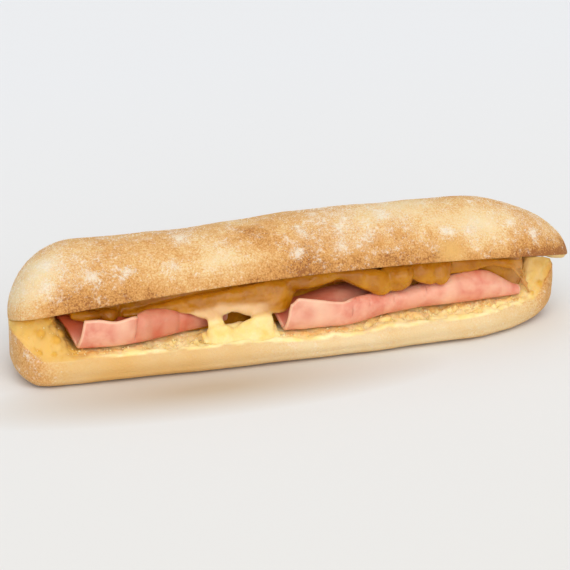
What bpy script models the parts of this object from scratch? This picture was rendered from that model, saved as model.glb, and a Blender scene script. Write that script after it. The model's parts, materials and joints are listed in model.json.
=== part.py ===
"""Croque monsieur in a long ciabatta-style roll: two bread halves, two folded ham slices, melted cheese.

The roll lies along X with its mouth open towards -Y. It was sliced low along the front, so the base is
a shallow boat and the lid is the thick half. The lid's back edge rests on the base's back edge, and the
lid is propped open by the filling, most of all in the middle. Units are metres, +Z is up, and the
origin is at the centre of the bounding box on the table.
"""

import math

import bmesh
import bpy
from mathutils import Matrix, Vector

# ---- Plan of the roll ----
LOAF_WIDTH = 0.064
HALF = LOAF_WIDTH / 2.0
LEFT_END = -0.1215  # both halves end here, close together
LEFT_SKEW = 0.0060  # the left end is cut aslant: this much further left at the front
LEFT_SKEW_RUN = 0.060
LEFT_CORNER = 0.021  # how far in from the end the corners start to round
BASE_RIGHT_END = 0.1242
BASE_RIGHT_CORNER = 0.054
LID_RIGHT_END = 0.1300  # the lid's tip overhangs the base
LID_RIGHT_CORNER = 0.034
BELLY = 0.13  # how much the roll narrows towards its ends, as a share of its width
FATTEST_X = 0.012  # where the roll is widest

# ---- Heights of the base ----
BASE_FRONT_LEFT = 0.0130  # height of the front rim at the left
BASE_FRONT_RIGHT = 0.0118
BASE_FRONT_DIP = 0.0018  # the rim sinks a little near the widest place
BASE_DIP_REACH = 0.050
BASE_BACK_HEIGHT = 0.0154
BASE_END_RISE = 0.0090  # the cut climbs at both ends, so the base is a boat
BASE_END_RUN = 0.016
BASE_EDGE = 0.0045  # height of the rounding between sole and wall
BASE_TUCK = 0.0080  # how far the sole stays inside the wall
BASE_LEFT_LIFT = 0.0080  # how far the sole curls up off the table at the left end
BASE_RIGHT_LIFT = 0.0100

# ---- The lid ----
LID_THICKNESS = 0.0282
LID_LEFT_SHOULDER = 0.029  # how far in from the end the top starts to fall
LID_RIGHT_SHOULDER = 0.052
LID_OPEN_LEFT = math.radians(14.3)
LID_OPEN_MIDDLE = math.radians(20.4)
LID_OPEN_RIGHT = math.radians(16.3)
LID_WIDEST_OPEN_X = 0.020
LID_TIP_DROOP = 0.0025  # the cut face sags at the right tip
LID_TIP_RUN = 0.016
HOLLOW_X = -0.045  # a shallow hollow in the lid's back
HOLLOW_REACH = 0.055
HOLLOW_DEPTH = 0.0020

# ---- The filling ----
HAM_THICKNESS = 0.0021
GAP = 0.0003  # between neighbours that touch
CHEESE_LEFT = -0.100
CHEESE_RIGHT = 0.109
CHEESE_CORNER = 0.012
CHEESE_FRONT_Y = -0.0155
CHEESE_BACK_Y = 0.0225
POUR_X = -0.024  # the cheese runs down to the base here, between the two slices
POUR_REACH = 0.022
POUR_SPREAD = 0.0130  # how far forward the pour comes on the base
CHEESE_LUMPS = (  # centre, reach and forward swell of each soft lump under the lid's front edge
    (-0.089, 0.008, 0.0020),
    (0.020, 0.014, 0.0030),
    (0.040, 0.012, 0.0050),
    (0.060, 0.009, 0.0045),
    (0.090, 0.012, 0.0030),
)


def smooth_step(value, low, high):
    """0 below low, 1 above high, with no kink between them."""
    t = min(max((value - low) / (high - low), 0.0), 1.0)
    return t * t * (3.0 - 2.0 * t)


def bump(value, centre, reach):
    """1 at centre, 0 beyond reach on either side."""
    return 1.0 - smooth_step(abs(value - centre), 0.0, reach)


def mix(first, second, share):
    return first + (second - first) * share


def end_round(distance, radius, power):
    """1 well inside the loaf, falling to 0 at its end along a rounded corner; blunter with more power."""
    if distance >= radius:
        return 1.0
    return (1.0 - (1.0 - distance / radius) ** power) ** (1.0 / power)


def stations(low, high, count):
    """Places along X, close together near both ends and never quite at them."""
    inset = 0.0005
    span = high - low - 2.0 * inset
    return [low + inset + span * (1.0 - math.cos(math.pi * i / (count - 1))) / 2.0 for i in range(count)]


def half_width(x, right_end, right_corner, right_fullness):
    """Half the loaf's width: a blunt left end, a rounder right end, and a gentle belly."""
    left = end_round(x - LEFT_END, LEFT_CORNER, 2.7)
    right = end_round(right_end - x, right_corner, right_fullness)
    belly = 1.0 - BELLY * ((x - FATTEST_X) / (LOAF_WIDTH * 2.0)) ** 2
    return HALF * left * right * belly


def slant(x, y):
    """Where a point of the ring at x really lies along X, the left end being cut aslant."""
    return x + LEFT_SKEW * y / HALF * (1.0 - smooth_step(x - LEFT_END, 0.0, LEFT_SKEW_RUN))


# ---- The two cut faces, which everything else is placed from ----
def lid_angle(x):
    """How far the lid stands open at x: most in the middle, where the filling is thickest."""
    if x < LID_WIDEST_OPEN_X:
        share = (LID_WIDEST_OPEN_X - x) / (LID_WIDEST_OPEN_X - LEFT_END)
        return mix(LID_OPEN_MIDDLE, LID_OPEN_LEFT, share * share)
    share = (x - LID_WIDEST_OPEN_X) / (LID_RIGHT_END - LID_WIDEST_OPEN_X)
    return mix(LID_OPEN_MIDDLE, LID_OPEN_RIGHT, share * share)


def lid_tip(x):
    """0 over most of the lid, 1 at its right tip."""
    return smooth_step(x, LID_RIGHT_END - LID_TIP_RUN, LID_RIGHT_END)


def place_on_lid(x, v, w):
    """A point of the lid, v across and w above its cut face, turned open about the back edge."""
    angle = lid_angle(x)
    arm = HALF - v
    y = HALF - arm * math.cos(angle) + w * math.sin(angle)
    z = BASE_BACK_HEIGHT + GAP + arm * math.sin(angle) + w * math.cos(angle)
    return Vector((x, y, z))


def lid_face_height(x, y):
    """Height of the lid's cut face above a point of the table."""
    return BASE_BACK_HEIGHT + GAP + (HALF - y) * math.tan(lid_angle(x))


def base_face_height(x, y):
    """Height of the base's cut face: it climbs to the back and at both ends, and stays under the lid."""
    rim = mix(BASE_FRONT_LEFT, BASE_FRONT_RIGHT, (x - LEFT_END) / (BASE_RIGHT_END - LEFT_END))
    rim -= BASE_FRONT_DIP * bump(x, FATTEST_X, BASE_DIP_REACH)
    slope = mix(rim, BASE_BACK_HEIGHT, (y + HALF) / LOAF_WIDTH)
    left = 1.0 - smooth_step(x - LEFT_END - LEFT_SKEW * y / HALF, 0.001, BASE_END_RUN)
    right = 1.0 - smooth_step(BASE_RIGHT_END - x, 0.001, BASE_END_RUN)
    ceiling = lid_face_height(x, y) - 2.0 * GAP - LID_TIP_DROOP * lid_tip(x)
    return min(slope + BASE_END_RISE * (left + right), ceiling)


# ---- Mesh helpers ----
def material(name, colour, roughness):
    made = bpy.data.materials.new(name)
    made.use_nodes = True
    shader = made.node_tree.nodes["Principled BSDF"]
    shader.inputs["Base Color"].default_value = (*colour, 1.0)
    shader.inputs["Roughness"].default_value = roughness
    shader.inputs["Metallic"].default_value = 0.0
    made.diffuse_color = (*colour, 1.0)
    return made


def loft(name, rings, surface, folded=False):
    """A closed solid through rings of points that all have the same count.

    Its ends are fans of faces round their middles, or for a folded strip a row across its thickness.
    """
    mesh = bpy.data.meshes.new(name)
    body = bmesh.new()
    loops = [[body.verts.new(point) for point in ring] for ring in rings]
    count = len(rings[0])
    for first, second in zip(loops, loops[1:]):
        for i in range(count):
            j = (i + 1) % count
            body.faces.new((first[i], first[j], second[j], second[i]))
    for end in (loops[0], loops[-1]):
        if folded:
            for i in range(count // 2 - 1):
                body.faces.new((end[i], end[i + 1], end[-i - 2], end[-i - 1]))
            continue
        middle = body.verts.new(sum((vert.co for vert in end), Vector()) / count)
        for i in range(count):
            body.faces.new((end[i], end[(i + 1) % count], middle))
    bmesh.ops.triangulate(body, faces=body.faces[:])
    bmesh.ops.recalc_face_normals(body, faces=body.faces[:])
    body.to_mesh(mesh)
    body.free()
    mesh.materials.append(surface)
    mesh.shade_smooth()
    mesh.set_sharp_from_angle(angle=math.radians(40.0))
    thing = bpy.data.objects.new(name, mesh)
    bpy.context.scene.collection.objects.link(thing)
    return thing


def rounded(points):
    """Cuts the corners of an open line, so that it bends in smaller steps; its two ends stay."""
    cut = [points[0]]
    for first, second in zip(points, points[1:]):
        cut.append(first.lerp(second, 0.25))
        cut.append(first.lerp(second, 0.75))
    return cut + [points[-1]]


def ribbon(points, thickness, longer):
    """The outline of a strip of that thickness along a line, made longer at both its ends."""
    first = points[0] + (points[0] - points[1]).normalized() * longer
    last = points[-1] + (points[-1] - points[-2]).normalized() * longer
    line = [first] + points[1:-1] + [last]
    ahead, behind = [], []
    for i, point in enumerate(line):
        along = line[min(i + 1, len(line) - 1)] - line[max(i - 1, 0)]
        across = Vector((0.0, -along.z, along.y)).normalized() * (thickness / 2.0)
        ahead.append(point + across)
        behind.append(point - across)
    return ahead + behind[::-1]


# ---- Bread ----
def dome_relief(x, v):
    """The slow swells of a hand-shaped loaf, and the shallow hollow in its back."""
    swell = 0.0004 * math.sin(x * 95.0 + v * 60.0) + 0.0004 * math.sin(x * 210.0 - v * 90.0 + 1.3)
    return swell - HOLLOW_DEPTH * bump(x, HOLLOW_X, HOLLOW_REACH)


def make_lid(surface):
    """The thick half: a dome of crust over a cut face, opened about its back edge."""
    dome_steps, face_steps = 18, 6
    squareness, crown_power = 0.78, 0.92  # both 1 for a dome of elliptical section
    rings = []
    for x in stations(LEFT_END, LID_RIGHT_END, 42):
        width = half_width(x, LID_RIGHT_END, LID_RIGHT_CORNER, 2.1)
        left = end_round(x - LEFT_END, LID_LEFT_SHOULDER, 1.9)
        right = end_round(LID_RIGHT_END - x, LID_RIGHT_SHOULDER, 1.8)
        ring = []
        for i in range(dome_steps + 1):
            angle = math.pi * i / dome_steps
            v = -width * math.copysign(abs(math.cos(angle)) ** squareness, math.cos(angle))
            w = (LID_THICKNESS + dome_relief(x, v)) * left * right * math.sin(angle) ** crown_power
            ring.append(place_on_lid(slant(x, v), v, w))
        for i in range(1, face_steps):
            v = mix(width, -width, i / face_steps)
            sag = LID_TIP_DROOP * lid_tip(x) * math.sin(math.pi * i / face_steps)
            ring.append(place_on_lid(slant(x, v), v, -sag))
        rings.append(ring)
    return loft("bread_lid", rings, surface)


def make_base(surface):
    """The thin half: a flat sole, low upright walls, and a cut face like a shallow boat."""
    wall_steps, face_steps = 4, 9
    rings = []
    for x in stations(LEFT_END, BASE_RIGHT_END, 44):
        width = half_width(x, BASE_RIGHT_END, BASE_RIGHT_CORNER, 1.75)
        lift = BASE_LEFT_LIFT * (1.0 - end_round(x - LEFT_END, 0.012, 1.5))
        lift += BASE_RIGHT_LIFT * (1.0 - end_round(BASE_RIGHT_END - x, 0.030, 2.0))
        sole = max(width - BASE_TUCK, width * 0.6)
        wall = []
        for i in range(wall_steps + 1):
            angle = math.pi / 2.0 * i / wall_steps
            wall.append((mix(sole, width, math.sin(angle)), lift + BASE_EDGE * (1.0 - math.cos(angle))))
        outline = [(-y, z) for y, z in wall]
        for i in range(face_steps + 1):
            y = mix(-width, width, i / face_steps)
            outline.append((y, base_face_height(slant(x, y), y)))
        outline += [(y, z) for y, z in reversed(wall)]
        rings.append([Vector((slant(x, y), y, z)) for y, z in outline])
    return loft("bread_base", rings, surface)


# ---- Ham ----
class Slice:
    """One folded ham slice: its fold lies along the crumb, and its front flap stands up."""

    def __init__(self, name, left, right, aslant, fold, flap, lean, crown):
        self.name = name
        self.left = left
        self.right = right
        self.aslant = aslant  # how far the back flap reaches out past the fold at the left end
        self.fold = fold  # where the fold runs across the loaf, by the share along the slice
        self.flap = flap  # height of the front flap
        self.lean = lean  # how far the flap's top leans forward of the fold
        self.crown = crown  # how high the back flap stands, as a share of the mouth

    def line(self, share):
        """The slice's middle line, from the top of the front flap over the fold to the back."""
        start = mix(self.left, self.right, share)
        reach = self.aslant * (1.0 - share)
        fold_y, flap, lean = self.fold(share), self.flap(share), self.lean(share)
        rest = 2.0 * GAP + HAM_THICKNESS / 2.0
        floor = base_face_height(start, fold_y) + rest
        points = [
            Vector((start + reach * 0.6, fold_y - 0.0014 - lean, floor + flap)),
            Vector((start + reach * 0.3, fold_y - 0.0016 - lean * 0.9, floor + flap * 0.5)),
            Vector((start, fold_y - 0.0020, floor)),
            Vector((start, fold_y + 0.0020, floor + 0.0002)),
        ]
        for depth, lift in ((0.0055, 0.60), (0.0100, 1.0), (0.0240, 0.92), (0.0360, 0.80)):
            x = start - reach * min(lift, depth / 0.0100)
            y = fold_y + depth
            low = base_face_height(x, y) + rest
            high = lid_face_height(x, y) - rest
            points.append(Vector((x, y, mix(low, high, self.crown(share) * lift))))
        return rounded(points)

    def solid(self, surface, name, grown):
        """The slice as a lofted strip, grown on every side where it is used to cut its neighbour."""
        count = 20
        rings = []
        for i in range(count):
            share = i / (count - 1)
            thin = 1.0 - 0.3 * smooth_step(abs(share - 0.5), 0.44, 0.5)
            ring = ribbon(self.line(share), HAM_THICKNESS * thin + 2.0 * grown, grown)
            outward = -grown if i == 0 else grown if i == count - 1 else 0.0
            rings.append([point + Vector((outward, 0.0, 0.0)) for point in ring])
        return loft(name, rings, surface, folded=True)


def left_flap(share):
    return mix(0.0125, 0.0045, smooth_step(share, 0.25, 1.0))


def right_flap(share):
    """Tall at its left end, low where the slice rolls over, and tapered off at the tip."""
    height = 0.0080 + 0.0068 * bump(share, 0.0, 0.35) + 0.0027 * bump(share, 0.3, 0.15)
    return height + 0.0035 * bump(share, 0.78, 0.3) - 0.0045 * bump(share, 1.0, 0.12)


def left_fold(share):
    return -0.0190 - 0.0020 * bump(share, 0.25, 0.3) + 0.0090 * smooth_step(share, 0.35, 1.0)


def right_fold(share):
    return -0.0225 + 0.0070 * smooth_step(share, 0.22, 0.55) + 0.0020 * smooth_step(share, 0.8, 1.0)


HAM_SLICES = (
    Slice(
        "ham_left",
        left=-0.0975,
        right=-0.0300,
        aslant=0.0050,
        fold=left_fold,
        flap=left_flap,
        lean=lambda share: mix(0.0030, 0.0010, share),
        crown=lambda share: mix(0.88, 0.55, share),
    ),
    Slice(
        "ham_right",
        left=-0.0090,
        right=0.1060,
        aslant=0.0040,
        fold=right_fold,
        flap=right_flap,
        lean=lambda share: mix(0.0030, 0.0015, share),
        crown=lambda share: 0.50 + 0.16 * bump(share, 0.30, 0.2),
    ),
)


# ---- Cheese ----
def cheese_front(x, drop):
    """How far forward the cheese comes at x, where drop is 0 under the lid and 1 on the base."""
    y = CHEESE_FRONT_Y
    for centre, reach, swell in CHEESE_LUMPS:
        y -= swell * bump(x, centre, reach) * (1.0 - smooth_step(drop, 0.25, 0.6))
    return y - bump(x, POUR_X, POUR_REACH) * mix(0.0020, POUR_SPREAD, drop)


def make_cheese(surface, cutters):
    """One melted mass that fills the wedge between the halves, with the ham slices cut out of it."""
    steps = 7
    rings = []
    for x in stations(CHEESE_LEFT, CHEESE_RIGHT, 40):
        ends = end_round(x - CHEESE_LEFT, CHEESE_CORNER, 2.0)
        ends *= end_round(CHEESE_RIGHT - x, CHEESE_CORNER, 2.0)
        back = CHEESE_BACK_Y * ends
        ring = []
        for i in range(steps):
            y = mix(back, cheese_front(x, 1.0) * ends, i / steps)
            ring.append(Vector((x, y, base_face_height(x, y) + 2.0 * GAP)))
        for i in range(steps):
            drop = 1.0 - i / steps
            y = cheese_front(x, drop) * ends
            z = mix(lid_face_height(x, y) - GAP, base_face_height(x, y) + 2.0 * GAP, drop)
            ring.append(Vector((x, y, z)))
        for i in range(steps + 1):
            y = mix(cheese_front(x, 0.0) * ends, back, i / steps)
            ring.append(Vector((x, y, lid_face_height(x, y) - GAP)))
        rings.append(ring)
    cheese = loft("melted_cheese", rings, surface)
    for cutter in cutters:
        cutter.hide_render = True
        cutter.display_type = "WIRE"
        cut = cheese.modifiers.new("clear of " + cutter.name, "BOOLEAN")
        cut.operation = "DIFFERENCE"
        cut.solver = "EXACT"
        cut.use_self = True
        cut.object = cutter
    return cheese


def centre_on_table(things):
    """The move that stands the bounding box on the table with its centre at the origin."""
    bpy.context.view_layer.update()
    corners = [thing.matrix_world @ Vector(corner) for thing in things for corner in thing.bound_box]
    low = Vector(map(min, zip(*corners)))
    high = Vector(map(max, zip(*corners)))
    return Matrix.Translation((-(low.x + high.x) / 2.0, -(low.y + high.y) / 2.0, -low.z))


def main():
    for thing in list(bpy.data.objects):
        bpy.data.objects.remove(thing)
    crust = material("crust", (0.62, 0.38, 0.17), 0.85)
    crumb = material("pale_bread", (0.80, 0.62, 0.33), 0.80)
    ham = material("ham", (0.76, 0.38, 0.33), 0.45)
    cheese = material("cheese", (0.85, 0.60, 0.20), 0.35)
    pieces = [make_lid(crust), make_base(crumb)]
    pieces += [folded.solid(ham, folded.name, 0.0) for folded in HAM_SLICES]
    cutters = [folded.solid(ham, folded.name + "_space", GAP) for folded in HAM_SLICES]
    pieces.append(make_cheese(cheese, cutters))
    shift = centre_on_table(pieces)
    for thing in pieces + cutters:
        thing.matrix_world = shift @ thing.matrix_world


main()
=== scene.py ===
# %% [markdown]
# # A croque monsieur in a long roll
# The real thing is a soft white roll about 25 cm long, dusted with flour, sliced low along its front
# and filled with two folded slices of ham and a lot of melted cheese. This lesson builds its visible
# surface piece by piece: crust, crumb, ham, cheese, then the crumbs and flour that lie on it.
# Every piece is placed from the solid model, which is opened first and never changed.

# %% Open the solid model
import itertools
import json

import bpy
import numpy as np
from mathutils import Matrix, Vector

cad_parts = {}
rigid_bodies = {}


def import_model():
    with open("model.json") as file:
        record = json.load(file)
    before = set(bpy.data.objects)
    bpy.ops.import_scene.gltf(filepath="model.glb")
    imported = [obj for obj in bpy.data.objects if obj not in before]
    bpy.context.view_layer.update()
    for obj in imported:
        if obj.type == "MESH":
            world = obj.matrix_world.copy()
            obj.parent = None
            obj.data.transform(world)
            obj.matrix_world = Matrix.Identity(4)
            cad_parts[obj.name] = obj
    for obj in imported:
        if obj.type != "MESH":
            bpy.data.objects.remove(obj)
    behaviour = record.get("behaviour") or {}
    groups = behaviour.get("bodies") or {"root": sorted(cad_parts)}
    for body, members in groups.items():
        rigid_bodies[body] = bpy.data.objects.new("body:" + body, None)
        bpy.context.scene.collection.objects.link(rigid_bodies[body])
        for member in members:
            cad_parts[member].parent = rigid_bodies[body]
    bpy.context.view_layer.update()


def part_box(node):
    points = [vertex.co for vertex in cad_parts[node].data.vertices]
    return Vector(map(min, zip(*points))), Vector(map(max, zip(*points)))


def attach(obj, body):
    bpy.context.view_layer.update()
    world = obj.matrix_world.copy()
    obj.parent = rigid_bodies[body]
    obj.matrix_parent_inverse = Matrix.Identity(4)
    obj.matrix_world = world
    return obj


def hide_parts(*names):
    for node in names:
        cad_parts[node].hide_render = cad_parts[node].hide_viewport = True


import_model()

# %% [markdown]
# ## Curves that everything shares
# Bread, ham and cheese are soft, so no measure jumps: each one eases from one value to the next. A
# smooth step and a bump made of two of them are enough for that. They work on whole numpy arrays,
# because a surface with 80,000 points is far too slow to compute one point at a time.


# %% Soft steps, bumps and rounded ends
def smooth_step(value, low, high):
    """0 below low, 1 above high, with no kink between them."""
    t = np.clip((value - low) / (high - low), 0.0, 1.0)
    return t * t * (3.0 - 2.0 * t)


def bump(value, centre, reach):
    """1 at centre, 0 beyond reach on either side."""
    return 1.0 - smooth_step(np.abs(value - centre), 0.0, reach)


def mix(first, second, share):
    return first + (second - first) * share


def window(value, low, high, outside, inside):
    """1 between low and high; each edge starts a way outside and ends a way inside."""
    opened = smooth_step(value, low - outside, low + inside)
    return opened * (1.0 - smooth_step(value, high - inside, high + outside))


def end_round(distance, radius, power):
    """1 well inside the loaf, falling to 0 at its end along a rounded corner."""
    inside = 1.0 - np.clip(distance / radius, 0.0, 1.0)
    return (1.0 - inside**power) ** (1.0 / power)


# %% [markdown]
# ## The roll's own shape
# The two halves are described by the same driving dimensions as the solid model: a plan outline, the
# height of the base's cut face, and the angle that the lid stands open. The solid model was centred on
# the table after it was made, so the same move is read back from the base's box.

# %% Driving dimensions and the two cut faces
HALF = 0.032
LEFT_END, BASE_RIGHT_END, LID_RIGHT_END = -0.1215, 0.1242, 0.1300
LEFT_SKEW, LEFT_SKEW_RUN, LEFT_CORNER = 0.0060, 0.060, 0.021
BASE_RIGHT_CORNER, LID_RIGHT_CORNER = 0.054, 0.034
BASE_FULLNESS, LID_FULLNESS = 1.75, 2.1  # how blunt each right end is in plan
BELLY, FATTEST_X = 0.13, 0.012
BASE_FRONT_LEFT, BASE_FRONT_RIGHT, BASE_BACK_HEIGHT = 0.0130, 0.0118, 0.0154
BASE_FRONT_DIP, BASE_DIP_REACH = 0.0018, 0.050
BASE_END_RISE, BASE_END_RUN = 0.0090, 0.016
BASE_EDGE, BASE_TUCK, BASE_LEFT_LIFT, BASE_RIGHT_LIFT = 0.0045, 0.0080, 0.0080, 0.0100
LID_THICKNESS, LID_LEFT_SHOULDER, LID_RIGHT_SHOULDER = 0.0282, 0.029, 0.052
LID_OPEN_LEFT, LID_OPEN_MIDDLE, LID_OPEN_RIGHT = np.radians((14.3, 20.4, 16.3))
LID_WIDEST_OPEN_X, LID_TIP_DROOP, LID_TIP_RUN = 0.020, 0.0025, 0.016
HOLLOW_X, HOLLOW_REACH, HOLLOW_DEPTH = -0.045, 0.055, 0.0020
HAM_THICKNESS, HAM_EDGE, GAP = 0.0021, 0.0011, 0.0003

base_low, base_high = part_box("bread_base")
TO_TABLE = Vector(
    (base_high.x - BASE_RIGHT_END + 0.0005, (base_low.y + base_high.y) / 2.0, 0.0)
)


def half_width(x, right_end, right_corner, fullness):
    """Half the loaf's width: a blunt left end, a rounder right end, and a gentle belly."""
    left = end_round(x - LEFT_END, LEFT_CORNER, 2.7)
    right = end_round(right_end - x, right_corner, fullness)
    return HALF * left * right * (1.0 - BELLY * ((x - FATTEST_X) / (HALF * 4.0)) ** 2)


def slant(x, y):
    """Where a point of the ring at x really lies along X, the left end being cut aslant."""
    return x + LEFT_SKEW * y / HALF * (1.0 - smooth_step(x - LEFT_END, 0.0, LEFT_SKEW_RUN))


def lid_angle(x):
    """How far the lid stands open at x: most in the middle, where the filling is thickest."""
    left = np.clip((LID_WIDEST_OPEN_X - x) / (LID_WIDEST_OPEN_X - LEFT_END), 0.0, 1.2) ** 2
    right = np.clip((x - LID_WIDEST_OPEN_X) / (LID_RIGHT_END - LID_WIDEST_OPEN_X), 0.0, 1.2) ** 2
    opened = mix(LID_OPEN_MIDDLE, LID_OPEN_LEFT, left)
    return opened + (LID_OPEN_RIGHT - LID_OPEN_MIDDLE) * right


def place_on_lid(x, v, w):
    """Points of the lid, v across and w above its cut face, turned open about the back edge."""
    angle = lid_angle(x)
    y = HALF - (HALF - v) * np.cos(angle) + w * np.sin(angle)
    z = BASE_BACK_HEIGHT + GAP + (HALF - v) * np.sin(angle) + w * np.cos(angle)
    return np.stack(np.broadcast_arrays(x, y, z), axis=-1)


def lid_face_height(x, y):
    return BASE_BACK_HEIGHT + GAP + (HALF - y) * np.tan(lid_angle(x))


def base_face_height(x, y):
    """Height of the base's cut face, which climbs to the back and both ends but not into the lid."""
    rim = mix(BASE_FRONT_LEFT, BASE_FRONT_RIGHT, (x - LEFT_END) / (BASE_RIGHT_END - LEFT_END))
    rim = rim - BASE_FRONT_DIP * bump(x, FATTEST_X, BASE_DIP_REACH)
    slope = mix(rim, BASE_BACK_HEIGHT, (y + HALF) / (HALF * 2.0))
    left = 1.0 - smooth_step(x - LEFT_END - LEFT_SKEW * y / HALF, 0.001, BASE_END_RUN)
    right = 1.0 - smooth_step(BASE_RIGHT_END - x, 0.001, BASE_END_RUN)
    tip = smooth_step(x, LID_RIGHT_END - LID_TIP_RUN, LID_RIGHT_END)
    ceiling = lid_face_height(x, y) - 2.0 * GAP - LID_TIP_DROOP * tip
    return np.minimum(slope + BASE_END_RISE * (left + right), ceiling)


print("the roll is centred by moving it", [round(part * 1000, 2) for part in TO_TABLE], "mm")

# %% [markdown]
# ## Camera and light
# Food is photographed on plain white under big soft lights, from a little above, with a long lens that
# keeps the roll's sides nearly parallel. The main light stands in front, 40 degrees up: high enough to
# fall on the crumb and the ham, low enough to leave the space under the lid dark and warm. A weaker one
# from behind rounds off the top and draws a soft shadow in front, and a pale surround fills the rest.

# %% Set the stage
scene = bpy.context.scene
scene.view_settings.view_transform = "Standard"
CAMERA_AZIMUTH, CAMERA_ELEVATION = np.radians((-18.0, 20.0))
CAMERA_DISTANCE = 1.05
LOOK_AT = Vector((-0.0033, 0.0, 0.0237))
FIELD_OF_VIEW_WIDTH = 0.2456  # what the frame spans at the distance of the roll, in metres

toward_camera = Vector(
    (
        np.sin(CAMERA_AZIMUTH) * np.cos(CAMERA_ELEVATION),
        -np.cos(CAMERA_AZIMUTH) * np.cos(CAMERA_ELEVATION),
        np.sin(CAMERA_ELEVATION),
    )
)
camera = bpy.data.objects.new("camera", bpy.data.cameras.new("camera"))
scene.collection.objects.link(camera)
camera.location = LOOK_AT + toward_camera * CAMERA_DISTANCE
camera.rotation_euler = (-toward_camera).to_track_quat("-Z", "Y").to_euler()
camera.data.sensor_width = 36.0
camera.data.lens = 36.0 * CAMERA_DISTANCE / FIELD_OF_VIEW_WIDTH
scene.camera = camera


def soft_sun(name, azimuth, elevation, spread_angle, strength, colour):
    """A lamp as wide as a window seen from far off; azimuth turns it from straight in front."""
    lamp = bpy.data.lights.new(name, "SUN")
    lamp.angle, lamp.energy, lamp.color = np.radians(spread_angle), strength, colour
    thing = bpy.data.objects.new(name, lamp)
    turn, rise = np.radians((azimuth, elevation))
    shines_from = Vector((np.sin(turn) * np.cos(rise), -np.cos(turn) * np.cos(rise), np.sin(rise)))
    thing.rotation_euler = (-shines_from).to_track_quat("-Z", "Y").to_euler()
    scene.collection.objects.link(thing)


soft_sun("back_light", 160.0, 62.0, spread_angle=60.0, strength=0.50, colour=(0.93, 0.98, 1.0))
soft_sun("front_light", -8.0, 40.0, spread_angle=70.0, strength=1.90, colour=(1.0, 0.965, 0.90))

surround = bpy.data.worlds.new("surround")
scene.world = surround
surround.use_nodes = True
surround.node_tree.nodes["Background"].inputs["Color"].default_value = (1.0, 0.98, 0.95, 1.0)
surround.node_tree.nodes["Background"].inputs["Strength"].default_value = 0.54
print("camera at", [round(part, 3) for part in camera.location])

# %% [markdown]
# ## A short way to wire a material
# Each finish below is a small tree of nodes. A few helpers keep the wiring readable: one adds a node and
# sets its values by name, others do sums, stretch a range, blend two colours or start a finish, and one
# makes a named group with its sockets, so that an effect that several finishes share is built once.


# %% Helpers for nodes
def put(tree, socket, value):
    """Links a socket from another one, or sets it to a plain value."""
    if isinstance(value, bpy.types.NodeSocket):
        tree.links.new(value, socket)
    else:
        socket.default_value = value


def node(tree, kind, inputs=None, **settings):
    """Adds a node; inputs holds values or sockets by the name or number of the input."""
    made = tree.nodes.new(kind)
    for name, value in settings.items():
        setattr(made, name, value)
    for name, value in (inputs or {}).items():
        put(tree, made.inputs[name], value)
    return made


def maths(tree, operation, first, second):
    return node(tree, "ShaderNodeMath", {0: first, 1: second}, operation=operation).outputs[0]


def plus(tree, first, second):
    return maths(tree, "ADD", first, second)


def times(tree, first, second):
    return maths(tree, "MULTIPLY", first, second)


def spread(tree, value, low, high, to_low=0.0, to_high=1.0):
    """Stretches a value from one range to another and stops it at both ends."""
    limits = {"Value": value, "From Min": low, "From Max": high, "To Min": to_low, "To Max": to_high}
    return node(tree, "ShaderNodeMapRange", limits).outputs["Result"]


def blend_colours(tree, share, first, second):
    """Mixes two colours, each a socket or four numbers, by a share."""
    colours = {0: share, 6: first, 7: second}
    return node(tree, "ShaderNodeMix", colours, data_type="RGBA").outputs[2]


def noise(tree, places, scale, detail, roughness=0.5, distortion=0.0):
    """Soft random values from 0 to 1 at places, about scale of them to a metre."""
    settings = {"Vector": places, "Scale": scale, "Detail": detail}
    settings.update({"Roughness": roughness, "Distortion": distortion})
    return node(tree, "ShaderNodeTexNoise", settings).outputs["Fac"]


def bump_shading(tree, shader, height, strength, distance):
    """Lets a height from 0 to 1 tilt the shading, as if the surface rose by up to a distance."""
    bumps = {"Height": height, "Strength": strength, "Distance": distance}
    tree.links.new(node(tree, "ShaderNodeBump", bumps).outputs["Normal"], shader.inputs["Normal"])


def mask_of(tree, name):
    """A mask that the points of a mesh carry."""
    return node(tree, "ShaderNodeAttribute", attribute_name=name).outputs["Fac"]


def new_finish(name, plain_values):
    """A material, its tree and its shader, with the shader's plain values set."""
    finish = bpy.data.materials.new(name)
    finish.use_nodes = True
    shader = finish.node_tree.nodes["Principled BSDF"]
    for input_name, value in plain_values.items():
        shader.inputs[input_name].default_value = value
    return finish, finish.node_tree, shader


def own_places(tree):
    """The object's own coordinates, so that a pattern stays put on its surface."""
    return node(tree, "ShaderNodeTexCoord").outputs["Object"]


def new_group(name, inputs, outputs):
    """An empty group with float, colour or vector sockets."""
    group = bpy.data.node_groups.new(name, "ShaderNodeTree")
    kinds = {"value": "NodeSocketFloat", "colour": "NodeSocketColor", "vector": "NodeSocketVector"}
    for socket, (kind, default) in inputs.items():
        made = group.interface.new_socket(socket, in_out="INPUT", socket_type=kinds[kind])
        made.default_value = default
    for socket, kind in outputs.items():
        group.interface.new_socket(socket, in_out="OUTPUT", socket_type=kinds[kind])
    return group, group.nodes.new("NodeGroupInput"), group.nodes.new("NodeGroupOutput")


def place_group(tree, group, **inputs):
    """Puts a group into a material, its inputs given by name with _ for a space."""
    made = tree.nodes.new("ShaderNodeGroup")
    made.node_tree = group
    for name, value in inputs.items():
        put(tree, made.inputs[name.replace("_", " ")], value)
    return made


# %% [markdown]
# ## Three effects that the foods share
# - **Fine grain** is the sandy speckle of a baked crust, the fuzz of crumb and the fibre of ham. It is
#   noise at two sizes, read from the object's own coordinates so that it stays put on the surface.
# - **Mottle** is the slow wandering between two colours that keeps any food from looking painted.
# - **Flour dust** breaks a smooth mask of "how floury" into grains: thick patches close up to white,
#   and thin ones end in single specks.

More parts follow.
